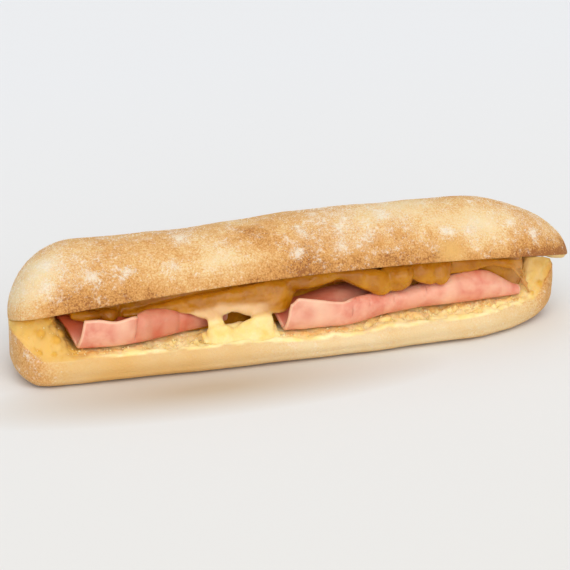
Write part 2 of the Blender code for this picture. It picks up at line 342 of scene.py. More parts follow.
# %% Build the shared groups
grain_group, start, end = new_group(
    "Fine grain",
    {"Size": ("value", 0.0006), "Stretch": ("vector", (1.0, 1.0, 1.0))},
    {"Grain": "value", "Coarse": "value"},
)
places = {0: own_places(grain_group), 1: start.outputs["Stretch"]}
stretched = node(grain_group, "ShaderNodeVectorMath", places, operation="MULTIPLY").outputs[0]
often = maths(grain_group, "DIVIDE", 1.0, start.outputs["Size"])
fine = noise(grain_group, stretched, often, 2.0, roughness=0.6)
coarse = noise(grain_group, stretched, times(grain_group, often, 0.3), 2.0)
grain_group.links.new(spread(grain_group, fine, 0.30, 0.70), end.inputs["Grain"])
grain_group.links.new(spread(grain_group, coarse, 0.32, 0.68), end.inputs["Coarse"])

mottle_group, start, end = new_group(
    "Mottle",
    {
        "First": ("colour", (1.0, 1.0, 1.0, 1.0)),
        "Second": ("colour", (0.5, 0.5, 0.5, 1.0)),
        "Size": ("value", 0.01),
        "Balance": ("value", 0.5),
    },
    {"Colour": "colour", "Mask": "value"},
)
often = maths(mottle_group, "DIVIDE", 1.0, start.outputs["Size"])
slow = noise(mottle_group, own_places(mottle_group), often, 3.0, roughness=0.55, distortion=0.4)
more_second = maths(mottle_group, "SUBTRACT", start.outputs["Balance"], 0.5)
mask = spread(mottle_group, plus(mottle_group, slow, more_second), 0.36, 0.64)
mottle_group.links.new(mask, end.inputs["Mask"])
mixed = blend_colours(mottle_group, mask, start.outputs["First"], start.outputs["Second"])
mottle_group.links.new(mixed, end.inputs["Colour"])

FLOUR_WHITE = (0.87, 0.79, 0.67, 1.0)
flour_group, start, end = new_group(
    "Flour dust",
    {
        "Amount": ("value", 0.0),
        "Size": ("value", 0.0007),
        "Under": ("colour", (0.5, 0.3, 0.1, 1.0)),
    },
    {"Colour": "colour", "Mask": "value"},
)
amount = start.outputs["Amount"]
often = maths(flour_group, "DIVIDE", 1.0, start.outputs["Size"])
specks = noise(flour_group, own_places(flour_group), often, 3.0, roughness=0.7)
seldom = maths(flour_group, "DIVIDE", 0.22, start.outputs["Size"])
clumps = noise(flour_group, own_places(flour_group), seldom, 2.0, roughness=0.6)
strewn = plus(flour_group, times(flour_group, clumps, 0.9), specks)
heaped = plus(flour_group, times(flour_group, amount, 0.55), strewn)
veil = spread(flour_group, amount, 0.10, 0.90, 0.0, 0.50)
mask = maths(flour_group, "MAXIMUM", spread(flour_group, heaped, 1.07, 1.38), veil)
flour_group.links.new(mask, end.inputs["Mask"])
cover = times(flour_group, mask, 0.85)
dusted = blend_colours(flour_group, cover, start.outputs["Under"], FLOUR_WHITE)
flour_group.links.new(dusted, end.inputs["Colour"])
print("groups:", [group.name for group in bpy.data.node_groups])

# %% [markdown]
# ## From a grid of points to a piece
# A loaf half, a ham slice and a string of cheese are all tubes: rings of points that close on
# themselves. One function turns a numpy grid of rings into a closed mesh, caps both its ends and
# stores masks such as "how browned" on its points, where the finish can read them.


# %% Helpers for meshes
def normals_of(grid):
    """Outward directions of a closed grid of rings."""
    along = np.gradient(grid, axis=0)
    around = np.roll(grid, -1, axis=1) - np.roll(grid, 1, axis=1)
    across = np.cross(around, along)
    return across / np.maximum(np.linalg.norm(across, axis=-1, keepdims=True), 1e-12)


def store_mask(mesh, name, values):
    """One value for each point of a mesh, where a finish can read it by name."""
    layer = mesh.attributes.new(name, "FLOAT", "POINT")
    layer.data.foreach_set("value", np.asarray(values, dtype=np.float32).ravel())


def make_piece(name, points, faces, finish, masks=None):
    """A mesh object in the roll's own place, moved to the table, shaded smooth."""
    mesh = bpy.data.meshes.new(name)
    moved = np.asarray(points) + np.array(TO_TABLE)
    mesh.from_pydata(moved.tolist(), [], faces)
    for mask_name, values in (masks or {}).items():
        store_mask(mesh, mask_name, values)
    mesh.materials.append(finish)
    mesh.validate()
    mesh.shade_smooth()
    thing = bpy.data.objects.new(name, mesh)
    scene.collection.objects.link(thing)
    return thing


def tube_faces(rings, around, folded=False):
    """Faces over a grid of closed rings, its ends shut by fans, or across a folded strip."""
    first = np.arange(rings - 1)[:, None] * around + np.arange(around)[None, :]
    next_round = np.arange(rings - 1)[:, None] * around + (np.arange(around)[None, :] + 1) % around
    quads = np.stack([first, first + around, next_round + around, next_round], axis=-1)
    faces = quads.reshape(-1, 4).tolist()
    middle = rings * around
    for start_at, turned in ((0, False), ((rings - 1) * around, True)):
        ring = list(range(start_at, start_at + around))
        if folded:
            steps = range(around // 2 - 1)
            caps = [[ring[i], ring[i + 1], ring[-i - 2], ring[-i - 1]] for i in steps]
        else:
            caps = [[ring[i], ring[(i + 1) % around], middle] for i in range(around)]
            middle += 1
        faces += [cap[::-1] for cap in caps] if turned else caps
    return faces


def with_middles(grid):
    """The points of a grid of rings, and after them the middles of the first ring and the last."""
    return np.vstack([grid.reshape(-1, 3), grid[0].mean(axis=0), grid[-1].mean(axis=0)])


def make_tube(name, grid, finish, masks, folded=False):
    """A closed piece from a grid of rings, with a middle point at each end unless it is folded."""
    rings, around = grid.shape[:2]
    points = grid.reshape(-1, 3) if folded else with_middles(grid)
    on_points = {}
    for mask_name, value in masks.items():
        value = np.broadcast_to(value, (rings, around))
        middles = [] if folded else [value[0].mean(), value[-1].mean()]
        on_points[mask_name] = np.concatenate([value.ravel(), middles])
    return make_piece(name, points, tube_faces(rings, around, folded), finish, on_points)


def soft_noise(points, size, seed, octaves=1):
    """Random swells about as wide as size, from -1 to 1, the same every time for one seed."""
    lattice = np.random.default_rng(seed).uniform(-1.0, 1.0, (32, 32, 32))
    total = np.zeros(points.shape[:-1])
    for octave in range(octaves):
        place = points * (2.0**octave / size) + 64.0
        cell = np.floor(place).astype(int)
        part = place - cell
        part = part * part * (3.0 - 2.0 * part)
        for corner in itertools.product((0, 1), repeat=3):
            share = np.prod(np.where(corner, part, 1.0 - part), axis=-1)
            index = (cell + corner) % 32
            total += share * lattice[index[..., 0], index[..., 1], index[..., 2]] * 0.5**octave
    return total


def spot(points, centre, reach):
    """1 at a centre, easing to 0 at reach all round it."""
    return 1.0 - smooth_step(np.linalg.norm(points - np.array(centre), axis=-1), 0.0, reach)


def stations(low, high, count, inset, gathered):
    """Places along X; gathered, from 0 to 1, draws them together near both ends."""
    t = np.linspace(0.0, 1.0, count)
    eased = mix(t, (1.0 - np.cos(np.pi * t)) / 2.0, gathered)
    return low + inset + (high - low - 2.0 * inset) * eased


# %% [markdown]
# ## The bread's finish
# One finish serves both halves. It reads masks from the points: how browned the crust is, how floury,
# how buttery, how far the surface is cut crumb and not crust, how toasted that crumb is, and how much
# painted shade it takes in its cells, deeper from the rim and at both ends. A colour ramp runs from raw
# cream to brown, and grain shifts each speck along it, so the crust looks sandy and not striped. Crumb
# lets light in, so it gets a touch of subsurface scattering.

# %% Mix the bread finish
bread, tree, shader = new_finish(
    "bread",
    {
        "Roughness": 0.78,
        "Specular IOR Level": 0.25,
        "Subsurface Weight": 0.25,
        "Subsurface Radius": (0.9, 0.55, 0.25),
        "Subsurface Scale": 0.003,
    },
)
grain = place_group(tree, grain_group, Size=0.00072)
browned = mask_of(tree, "bake")
speckle = times(tree, maths(tree, "SUBTRACT", grain.outputs["Grain"], 0.5), 0.50)
speckle = times(tree, speckle, spread(tree, browned, 0.06, 0.30, 0.22, 1.0))
clumps = times(tree, maths(tree, "SUBTRACT", grain.outputs["Coarse"], 0.5), 0.14)
clumps = times(tree, clumps, spread(tree, browned, 0.05, 0.45, 0.1, 1.0))
level = plus(tree, browned, plus(tree, speckle, clumps))
ramp = node(tree, "ShaderNodeValToRGB", {"Fac": level})
stops = (
    (0.0, (0.82, 0.67, 0.42, 1.0)),
    (0.25, (0.79, 0.56, 0.285, 1.0)),
    (0.50, (0.70, 0.385, 0.140, 1.0)),
    (0.74, (0.58, 0.28, 0.080, 1.0)),
    (1.0, (0.33, 0.125, 0.035, 1.0)),
)
for place, colour in stops[1:-1]:
    ramp.color_ramp.elements.new(place)
for element, (place, colour) in zip(ramp.color_ramp.elements, stops):
    element.position, element.color = place, colour

# The third colour here is painted shade: crumb in its cells, deeper from the rim and at both ends is
# mixed towards this deeper orange.
BUTTERY, TOASTED, PAINTED_SHADE_ORANGE = (0.74, 0.445, 0.15, 1.0), (0.74, 0.34, 0.06, 1.0), (0.76, 0.43, 0.075, 1.0)
CRUMB_YELLOW, CRUMB_PALE = (0.99, 0.80, 0.33, 1.0), (1.0, 0.88, 0.52, 1.0)
floury = mask_of(tree, "flour")
crust = place_group(tree, flour_group, Amount=floury, Size=0.0011, Under=ramp.outputs["Color"])
crust_shade = blend_colours(tree, mask_of(tree, "golden"), crust.outputs["Colour"], BUTTERY)
foam = place_group(
    tree, mottle_group, First=CRUMB_YELLOW, Second=CRUMB_PALE, Size=0.0055, Balance=0.52
)
# Painted shade: the crumb's colour turns to the deeper orange where the painted-shade mask is high.
crumb_shade = blend_colours(tree, mask_of(tree, "painted_shade"), foam.outputs["Colour"], PAINTED_SHADE_ORANGE)
uneven = spread(tree, grain.outputs["Coarse"], 0.0, 1.0, 0.55, 1.1)
crumb_shade = blend_colours(
    tree, times(tree, mask_of(tree, "toast"), uneven), crumb_shade, TOASTED
)
is_crumb = mask_of(tree, "crumb")
tree.links.new(blend_colours(tree, is_crumb, crust_shade, crumb_shade), shader.inputs["Base Color"])
height = plus(tree, grain.outputs["Grain"], times(tree, crust.outputs["Mask"], 0.8))
height = times(tree, height, spread(tree, is_crumb, 0.0, 1.0, 1.0, 0.45))
bump_shading(tree, shader, height, 0.55, 0.00022)

# %% [markdown]
# ## The lid
# The lid is a low dome of crust over a cut face. Its section is a squared ellipse that fades out
# towards both ends, and it is turned open about its back edge. A dome could also be sculpted, but rings
# worked out by a formula stay exactly over the solid model. Slow swells, finger-wide lumps and a fine
# crustiness are then pushed out along the surface, each from its own noise.

# %% Shape the lid
dome_steps, face_steps = 150, 84
x = stations(LEFT_END, LID_RIGHT_END, 330, 0.00004, 0.5)[:, None]
lid_half = half_width(x, LID_RIGHT_END, LID_RIGHT_CORNER, LID_FULLNESS)
left_shoulder = end_round(x - LEFT_END, LID_LEFT_SHOULDER, 1.9)
shoulders = left_shoulder * end_round(LID_RIGHT_END - x, LID_RIGHT_SHOULDER, 1.8)
angle = np.linspace(0.0, np.pi, dome_steps + 1)[None, :]
v = -lid_half * np.sign(np.cos(angle)) * np.abs(np.cos(angle)) ** 0.78
swell = 0.00012 * np.sin(x * 95.0 + v * 60.0) + 0.00012 * np.sin(x * 210.0 - v * 90.0 + 1.3)
swell = swell - HOLLOW_DEPTH * bump(x, HOLLOW_X, HOLLOW_REACH)
w = (LID_THICKNESS + swell) * shoulders * np.sin(angle) ** 0.92
dome = place_on_lid(slant(x, v), v, w)

across = np.linspace(1.0, -1.0, face_steps + 2)[None, 1:-1]
v = lid_half * across
tip = smooth_step(x, LID_RIGHT_END - LID_TIP_RUN, LID_RIGHT_END)
face = place_on_lid(slant(x, v), v, -LID_TIP_DROOP * tip * (1.0 - across**2))
lid = np.concatenate([dome, face], axis=1)

is_face = np.concatenate([np.zeros(dome_steps + 1), np.ones(face_steps)])[None, :]
inset_share = 1.0 - np.abs(across)
face_depth = np.concatenate([np.zeros(dome_steps + 1), smooth_step(inset_share[0], 0.34, 0.50)])[None, :]
is_crumb = np.concatenate([np.zeros(dome_steps + 1), smooth_step(inset_share[0], 0.08, 0.13)])[None, :]
outward = normals_of(lid)
crustiness = 0.00016 * soft_noise(lid, 0.013, 11, 2) + 0.00010 * soft_noise(lid, 0.0026, 12, 2)
crumb_pits = -0.0011 * np.clip(soft_noise(lid, 0.0032, 13, 2) - 0.25, 0.0, 1.0)
above_edge = np.concatenate([w, np.zeros((len(x), face_steps))], axis=1)
crustiness = crustiness * smooth_step(above_edge, 0.0, 0.0035)
lid = lid + outward * (crustiness * (1.0 - is_face) + crumb_pits * face_depth)[..., None]
print("lid:", lid.shape[0] * lid.shape[1], "points")

# %% [markdown]
# ## Where the lid is browned and floury
# An oven browns what stands proud, so the mask starts from noise at two sizes, is lighter on the top
# where flour kept the heat off, and darker along the lower front edge. The larger patches of this very
# roll are added one by one as soft spots: centre, reach and strength. Noise moves each point a little
# before its distance to a spot is taken, so that no patch has a round outline.

# %% Paint the lid's masks
LID_BAKE_SPOTS = (
    ((-0.117, -0.016, 0.036), 0.024, -0.33),
    ((-0.112, -0.004, 0.044), 0.020, -0.15),
    ((0.058, -0.009, 0.055), 0.024, -0.30),
    ((0.081, -0.018, 0.050), 0.022, -0.36),
    ((0.030, -0.010, 0.055), 0.022, -0.26),
    ((-0.034, -0.022, 0.046), 0.018, -0.34),
    ((-0.052, -0.024, 0.042), 0.012, -0.12),
    ((-0.100, -0.010, 0.050), 0.018, -0.22),
    ((-0.101, -0.024, 0.036), 0.016, 0.24),
    ((-0.084, -0.025, 0.038), 0.018, 0.16),
    ((0.002, -0.026, 0.043), 0.020, 0.20),
    ((-0.016, -0.014, 0.053), 0.012, 0.18),
    ((0.041, -0.023, 0.046), 0.014, 0.24),
    ((0.056, -0.024, 0.044), 0.013, 0.14),
    ((0.104, -0.022, 0.040), 0.018, 0.20),
    ((0.121, -0.017, 0.031), 0.010, 0.42),
)
GOLDEN_SPOT = (0.066, -0.0265, 0.041)
LID_DUSTY_SPOTS = (
    ((0.026, -0.008, 0.055), 0.034, 0.22),
    ((-0.112, -0.012, 0.042), 0.032, 0.16),
    ((0.100, -0.010, 0.048), 0.030, 0.08),
)
LID_FLOUR_SPOTS = (
    ((-0.0917, -0.0205, 0.0454), 0.0042),
    ((-0.0781, -0.0230, 0.0430), 0.0045),
    ((-0.0754, -0.0209, 0.0459), 0.0036),
    ((-0.1095, -0.0195, 0.0436), 0.0034),
    ((-0.1050, -0.0120, 0.0490), 0.0050),
    ((-0.0497, -0.0101, 0.0531), 0.0070),
    ((-0.0560, -0.0220, 0.0460), 0.0045),
    ((-0.0028, -0.0237, 0.0460), 0.0045),
    ((0.0020, -0.0170, 0.0520), 0.0040),
    ((0.0177, -0.0233, 0.0467), 0.0055),
    ((0.0309, -0.0202, 0.0501), 0.0050),
    ((0.0390, -0.0120, 0.0545), 0.0060),
    ((0.0654, -0.0215, 0.0485), 0.0060),
    ((0.0770, -0.0200, 0.0480), 0.0052),
    ((0.0950, -0.0180, 0.0480), 0.0035),
    ((0.1060, -0.0190, 0.0440), 0.0032),
    ((0.1100, -0.0120, 0.0430), 0.0050),
)
in_front = lid[..., 1] < 0.0
wander = np.stack([soft_noise(lid, 0.0075, seed, 3) for seed in (26, 27, 28)], axis=-1)
ragged_lid = lid + 0.0042 * wander
lid_bake = 0.50 + 0.15 * soft_noise(lid, 0.024, 21, 2) + 0.08 * soft_noise(lid, 0.006, 22, 2)
lid_bake += 0.20 * (1.0 - smooth_step(above_edge, 0.001, 0.011)) * in_front
at_tip = smooth_step(lid[..., 0], 0.080, 0.104) * (1.0 - smooth_step(above_edge, 0.0005, 0.0050))
lid_bake += 0.26 * at_tip * in_front
lid_bake -= 0.10 * smooth_step(outward[..., 2], 0.55, 1.0)
for centre, reach, strength in LID_BAKE_SPOTS:
    lid_bake += strength * spot(ragged_lid, centre, 1.1 * reach)
lid_flour = 0.10 * soft_noise(lid, 0.0034, 23, 3) + 0.12 * soft_noise(lid, 0.016, 24, 1)
lid_flour += 0.10 + 0.30 * smooth_step(outward[..., 2], 0.45, 1.0)
for centre, reach, strength in LID_DUSTY_SPOTS:
    lid_flour += strength * spot(lid, centre, reach)
for centre, reach in LID_FLOUR_SPOTS:
    lid_flour += 0.46 * spot(mix(lid, ragged_lid, 0.4), centre, 1.1 * reach)
lid_flour *= smooth_step(above_edge, 0.0015, 0.011)
golden = spot(lid, GOLDEN_SPOT, 0.010)
lid_masks = {
    "bake": np.clip(lid_bake, 0.0, 1.0),
    "flour": np.clip(lid_flour, 0.0, 1.0) * (1.0 - 0.7 * golden),
    "crumb": is_crumb * 1.0,
    "toast": 0.10 * is_crumb,
    "golden": 0.85 * golden,
    # The lid's cut face takes an even share of the painted crumb shade.
    "painted_shade": 0.3 * is_crumb,
}
lid_piece = make_tube("lid_crust", lid, bread, lid_masks)
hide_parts("bread_lid")
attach(lid_piece, "root")
print("mean browning of the lid:", round(float(lid_bake.mean()), 2))

# %% [markdown]
# ## The base
# The base is a slab with a flat sole, walls that are hardly browned, and a cut face of open crumb. Its
# ring runs along the sole, up the front wall, over the face and down the back. The crumb is where the
# eye rests, so the face has a fine mesh: pores are pressed into it as round dents of many sizes, and
# torn shreds stand up in front of the ham, where the knife dragged the crumb.

# %% Shape the base
sole_steps, wall_steps, face_steps = 14, 30, 112
x = stations(LEFT_END, BASE_RIGHT_END, 350, 0.00004, 0.45)[:, None]
base_half = half_width(x, BASE_RIGHT_END, BASE_RIGHT_CORNER, BASE_FULLNESS)
lift = BASE_LEFT_LIFT * (1.0 - end_round(x - LEFT_END, 0.012, 1.5))
lift = lift + BASE_RIGHT_LIFT * (1.0 - end_round(BASE_RIGHT_END - x, 0.030, 2.0))
sole = np.maximum(base_half - BASE_TUCK, base_half * 0.6)

turn = np.linspace(0.0, np.pi / 2.0, wall_steps // 2)[None, :]
edge_y = mix(sole, base_half, np.sin(turn))
edge_z = lift + BASE_EDGE * (1.0 - np.cos(turn))
rise = np.linspace(0.0, 1.0, wall_steps // 2 + 1)[None, 1:]
RIM_DROP = 0.0013  # how far the rounded rim lies below the cut face
rim_front = base_face_height(slant(x, -base_half), -base_half) - RIM_DROP
rim_back = base_face_height(slant(x, base_half), base_half) - RIM_DROP
bulge = 0.0007 * np.sin(rise * np.pi) - 0.0004 * rise**5 * smooth_step(base_half, 0.0, 0.006)
front_wall = np.broadcast_to(-base_half - bulge, (len(x), wall_steps // 2))
front_y = np.concatenate([-edge_y, front_wall], axis=1)
front_z = np.concatenate([edge_z, mix(edge_z[:, -1:], rim_front, rise)], axis=1)
back_y = -front_y
back_z = np.concatenate([edge_z, mix(edge_z[:, -1:], rim_back, rise)], axis=1)

across = 0.968 * np.linspace(-1.0, 1.0, face_steps)[None, :]
face_y = base_half * across
face_x = slant(x, face_y)
BANK_RISE = 0.017  # at both ends the halves are still joined by crumb, which climbs to the lid
bank = 1.0 - smooth_step(x - LEFT_END, 0.0120, 0.0265) + smooth_step(x, 0.1015, 0.1120)
bank = BANK_RISE * bank * smooth_step(face_y + base_half, 0.0020, 0.0125)
tip = smooth_step(face_x, LID_RIGHT_END - LID_TIP_RUN, LID_RIGHT_END)
roof = lid_face_height(face_x, face_y) - 3.0 * GAP - LID_TIP_DROOP * tip
face_z = np.minimum(base_face_height(face_x, face_y) + bank, roof)
sole_y = sole * np.linspace(1.0, -1.0, sole_steps + 2)[None, 1:-1]
sole_z = np.broadcast_to(lift, sole_y.shape)
ring_y = np.concatenate([front_y, face_y, back_y[:, ::-1], sole_y], axis=1)
ring_z = np.concatenate([front_z, face_z, back_z[:, ::-1], sole_z], axis=1)
base = np.stack([slant(x, ring_y), ring_y, ring_z], axis=-1)
face_columns = slice(wall_steps, wall_steps + face_steps)
print("base:", base.shape[0] * base.shape[1], "points")

# %% [markdown]
# ## Crumb on the cut face
# Real crumb is a foam that the knife has opened: round cells of every size up to 5 mm at the blunt
# end, fine ones elsewhere. Each cell is a shallow bowl with a slightly raised lip, and its depth is kept
# as painted shade that darkens the bowl's colour. Towards the rim the face rolls over into the wall,
# which is why the edge looks soft and pale.

# %% Open the cells and tear the crumb
face = base[:, face_columns].copy()
face_out = normals_of(base)[:, face_columns]
relief = 0.00060 * soft_noise(face, 0.0050, 31, 3)
relief += 0.00060 * soft_noise(face, 0.0130, 32, 2)
relief += smooth_step(bank, 0.0, 0.004) * (
    0.00130 * soft_noise(face, 0.0046, 38, 1) + 0.00050 * soft_noise(face, 0.0022, 37, 3)
)

painted_cell_shade = np.zeros(face.shape[:2])
cell_rng = np.random.default_rng(33)
CELL_COUNT, CELL_DEPTH, DARK_DEPTH = 800, 0.34, 0.0011  # depth to half width; where a cell is darkest
cell_x = cell_rng.uniform(LEFT_END + 0.003, BASE_RIGHT_END - 0.002, CELL_COUNT)
cell_y = cell_rng.uniform(-0.029, 0.010, CELL_COUNT)
cell_size = 0.0006 + 0.0013 * cell_rng.random(CELL_COUNT) ** 3
BIG_CELLS = (  # place along and across, half its width, depth
    (-0.1165, -0.0170, 0.0027, 0.0026),
    (-0.1125, -0.0205, 0.0020, 0.0020),
    (-0.1085, -0.0170, 0.0027, 0.0026),
    (-0.1140, -0.0240, 0.0016, 0.0010),
    (-0.1060, -0.0205, 0.0022, 0.0016),
    (-0.1035, -0.0160, 0.0024, 0.0016),
    (-0.1075, -0.0245, 0.0014, 0.0010),
    (-0.0990, -0.0240, 0.0012, 0.0009),
    (0.1080, -0.0160, 0.0018, 0.0012),
    (0.1135, -0.0120, 0.0020, 0.0012),
    (0.1020, -0.0185, 0.0016, 0.0014),
)
cells = [(cx, cy, size, size * CELL_DEPTH) for cx, cy, size in zip(cell_x, cell_y, cell_size)]
for cx, cy, size, depth in cells + list(BIG_CELLS):
    near = np.abs(x[:, 0] - cx) < size * 2.2 + 0.007
    block = face[near]
    nearest = np.argmin(np.hypot(block[..., 0] - cx, block[..., 1] - cy))
    centre = block.reshape(-1, 3)[nearest]
    away = np.linalg.norm(block - centre, axis=-1) / size
    bowl = np.where(away < 1.0, -depth * (1.0 - away**2), 0.0)
    lip = 0.14 * depth * np.exp(-(((away - 1.12) / 0.16) ** 2))
    relief[near] += bowl + lip
    # Painted shade: the deeper a point lies in a cell's bowl, the darker its crumb colour is painted.
    shade = np.where(away < 1.0, (1.0 - away**2) * min(depth / DARK_DEPTH, 1.0), 0.0)
    painted_cell_shade[near] = np.maximum(painted_cell_shade[near], shade)

TORN = (  # along X from, to, middle across, half width, height of the shreds
    (-0.066, -0.036, -0.0225, 0.0060, 0.0030),
    (0.028, 0.060, -0.0215, 0.0055, 0.0028),
    (0.056, 0.104, -0.0205, 0.0060, 0.0024),
    (-0.098, -0.066, -0.0235, 0.0040, 0.0010),
    (-0.010, 0.026, -0.0265, 0.0032, 0.0010),
)
shreds = 1.0 - np.abs(soft_noise(face * np.array((1.0, 0.7, 1.0)), 0.0042, 34, 3))
torn_mask = np.zeros(face.shape[:2])
for low, high, middle, reach, tall in TORN:
    along = window(face[..., 0], low, high, 0.006, 0.003)
    patch = along * bump(face[..., 1], middle, reach * 1.5)
    torn_mask = np.maximum(torn_mask, patch)
    relief += tall * patch * np.clip(shreds - 0.42, 0.0, 1.0) * 1.5
from_rim = base_half * (1.0 - np.abs(across))
fade = smooth_step(from_rim, 0.0003, 0.0030) * smooth_step(roof - face_z, -0.0004, 0.0030)
roll = -RIM_DROP * (1.0 - smooth_step(from_rim, -0.0006, 0.0030))
base[:, face_columns] += face_out * (relief * fade)[..., None]
base[:, face_columns, 2] += roll

outward = normals_of(base)
is_wall = np.ones(base.shape[1])
is_wall[face_columns] = 0.0
is_wall[-sole_steps:] = 0.0
wall_lumps = 0.00030 * soft_noise(base, 0.016, 35, 2) + 0.00004 * soft_noise(base, 0.0024, 36, 2)
base += outward * (wall_lumps * is_wall[None, :])[..., None]

# %% [markdown]
# ## Browning of the base
# The walls of this roll touched their neighbours in the oven and stayed pale. Only the two ends and the
# line round the sole caught colour, and the ends kept their flour. The crumb is toasted in a narrow
# strip where hot cheese and ham fat met it.

# %% Paint the base's masks
px, py, pz = base[..., 0], base[..., 1], base[..., 2]
at_left = 1.0 - smooth_step(px - LEFT_END - LEFT_SKEW * py / HALF, 0.010, 0.026)
at_right = smooth_step(px, BASE_RIGHT_END - 0.034, BASE_RIGHT_END - 0.006)
base_bake = 0.10 + 0.07 * soft_noise(base, 0.012, 41, 2) + 0.05 * soft_noise(base, 0.004, 42, 1)
base_bake += 0.26 * (1.0 - smooth_step(pz, 0.0005, 0.0035))
base_bake += 0.43 * at_left + 0.52 * at_right * smooth_step(py, -0.031, -0.012)
base_bake += 0.50 * (1.0 - smooth_step(pz, -0.001, 0.0006))
base_flour = (0.02 + 0.36 * soft_noise(base, 0.0040, 43, 3)) * np.maximum(at_left, at_right * 0.6)
crumb = np.zeros(base.shape[:2])
ragged = 0.0010 * soft_noise(face, 0.0060, 46, 3)
crumb[:, face_columns] = smooth_step(from_rim + ragged, 0.0002, 0.0016)
toast = np.zeros(base.shape[:2])
TOAST_STRIPS = (  # along X from, to, middle across, half width, strength
    (-0.097, -0.066, -0.0228, 0.0018, 0.80),
    (-0.070, -0.034, -0.0172, 0.0018, 0.40),
    (-0.009, 0.022, -0.0250, 0.0016, 0.85),
    (0.020, 0.060, -0.0195, 0.0016, 0.55),
    (0.056, 0.104, -0.0168, 0.0018, 0.65),
)
specks = 0.5 + 0.5 * soft_noise(base, 0.0016, 44, 2)
for low, high, middle, reach, strength in TOAST_STRIPS:
    strip = window(px, low, high, 0.004, 0.004) * bump(py, middle, reach * 1.6)
    toast = np.maximum(toast, strength * strip * np.clip(0.35 + specks, 0.0, 1.0))
painted_shade = np.zeros(base.shape[:2])
near_left = 1.0 - smooth_step(px - LEFT_END, 0.022, 0.038)
# Painted warm shade at both ends, where the crumb lies under the lid's ends, and a little in the crumb
# deeper from the rim.
end_and_depth_shade = np.maximum(0.80 * near_left, 0.60 * smooth_step(px, 0.100, 0.112))[:, face_columns]
end_and_depth_shade = np.maximum(end_and_depth_shade, 0.12 * smooth_step(from_rim, 0.0015, 0.0050))
painted_shade[:, face_columns] = np.clip(0.60 * painted_cell_shade + end_and_depth_shade, 0.0, 1.0)
golden = 0.06 + 0.3 * soft_noise(base, 0.020, 45, 2) + 0.75 * (1.0 - smooth_step(px, -0.095, 0.0))
golden = np.clip(golden, 0.0, 1.0) * (1.0 - at_left) * (1.0 - at_right)
base_masks = {
    "bake": np.clip(base_bake, 0.0, 1.0),
    "flour": np.clip(base_flour, 0.0, 1.0),
    "crumb": crumb,
    "toast": toast * crumb,
    "golden": golden,
    "painted_shade": painted_shade,
}
base_piece = make_tube("base_bread", base, bread, base_masks)
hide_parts("bread_base")
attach(base_piece, "root")
print("toasted share of the crumb:", round(float((toast > 0.3).mean()), 3))

# %% [markdown]
# ## The ham's finish
# Cooked ham is pale pink and moist, with lighter fat running through it and a darker, redder inside
# where two layers shade each other. Light enters it a little way, so subsurface scattering does more
# for it than any texture. The marbling is a mottle, and the fibre is grain stretched along the slice.

# %% Mix the ham finish
ham, tree, shader = new_finish(
    "ham",
    {
        "Specular IOR Level": 0.45,
        "Subsurface Weight": 0.30,
        "Subsurface Radius": (1.0, 0.35, 0.25),
        "Subsurface Scale": 0.0022,
    },
)
HAM_PINK, HAM_ROSE = (0.85, 0.42, 0.30, 1.0), (0.74, 0.235, 0.165, 1.0)
HAM_FAT, HAM_INSIDE = (0.95, 0.62, 0.45, 1.0), (0.56, 0.10, 0.030, 1.0)
flesh = place_group(tree, mottle_group, First=HAM_PINK, Second=HAM_ROSE, Size=0.0085, Balance=0.50)
fatty = place_group(tree, mottle_group, Size=0.0075, Balance=0.40)
fat = times(tree, fatty.outputs["Mask"], 0.45)
fat = maths(tree, "MAXIMUM", fat, mask_of(tree, "fat"))
colour = blend_colours(tree, fat, flesh.outputs["Colour"], HAM_FAT)
colour = blend_colours(tree, mask_of(tree, "inside"), colour, HAM_INSIDE)
tree.links.new(colour, shader.inputs["Base Color"])
fibre = place_group(tree, grain_group, Size=0.0009, Stretch=(0.45, 1.0, 1.6))
bump_shading(tree, shader, fibre.outputs["Grain"], 0.35, 0.00012)
tree.links.new(spread(tree, fibre.outputs["Coarse"], 0.0, 1.0, 0.36, 0.55), shader.inputs["Roughness"])

# %% [markdown]
# ## Two folded slices
# Each slice is a strip 2 mm thick that is folded along its length: the front flap stands up, the fold
# rests on the crumb, and the back flap rises under the lid. Control points for its section are joined
# by a smooth spline, as cloth would bend, and each control point moves slowly along the slice. Further
# right the flap's top rolls over backwards, which is drawn with a share called "roll".


# %% Helpers for the slices
def spline(controls, steps):
    """A smooth curve near its control points that starts and ends on the outer ones."""
    controls = np.concatenate([controls[:, :1], controls, controls[:, -1:]], axis=1)
    spans = controls.shape[1] - 2
    t = np.linspace(0.0, spans - 1e-9, steps)
    span = t.astype(int)
    u = (t - span)[None, :, None]
    first, middle, last = controls[:, span], controls[:, span + 1], controls[:, span + 2]
    blend = 0.5 * (1.0 - u) ** 2 * first + (0.5 + u - u * u) * middle + 0.5 * u * u * last
    return blend


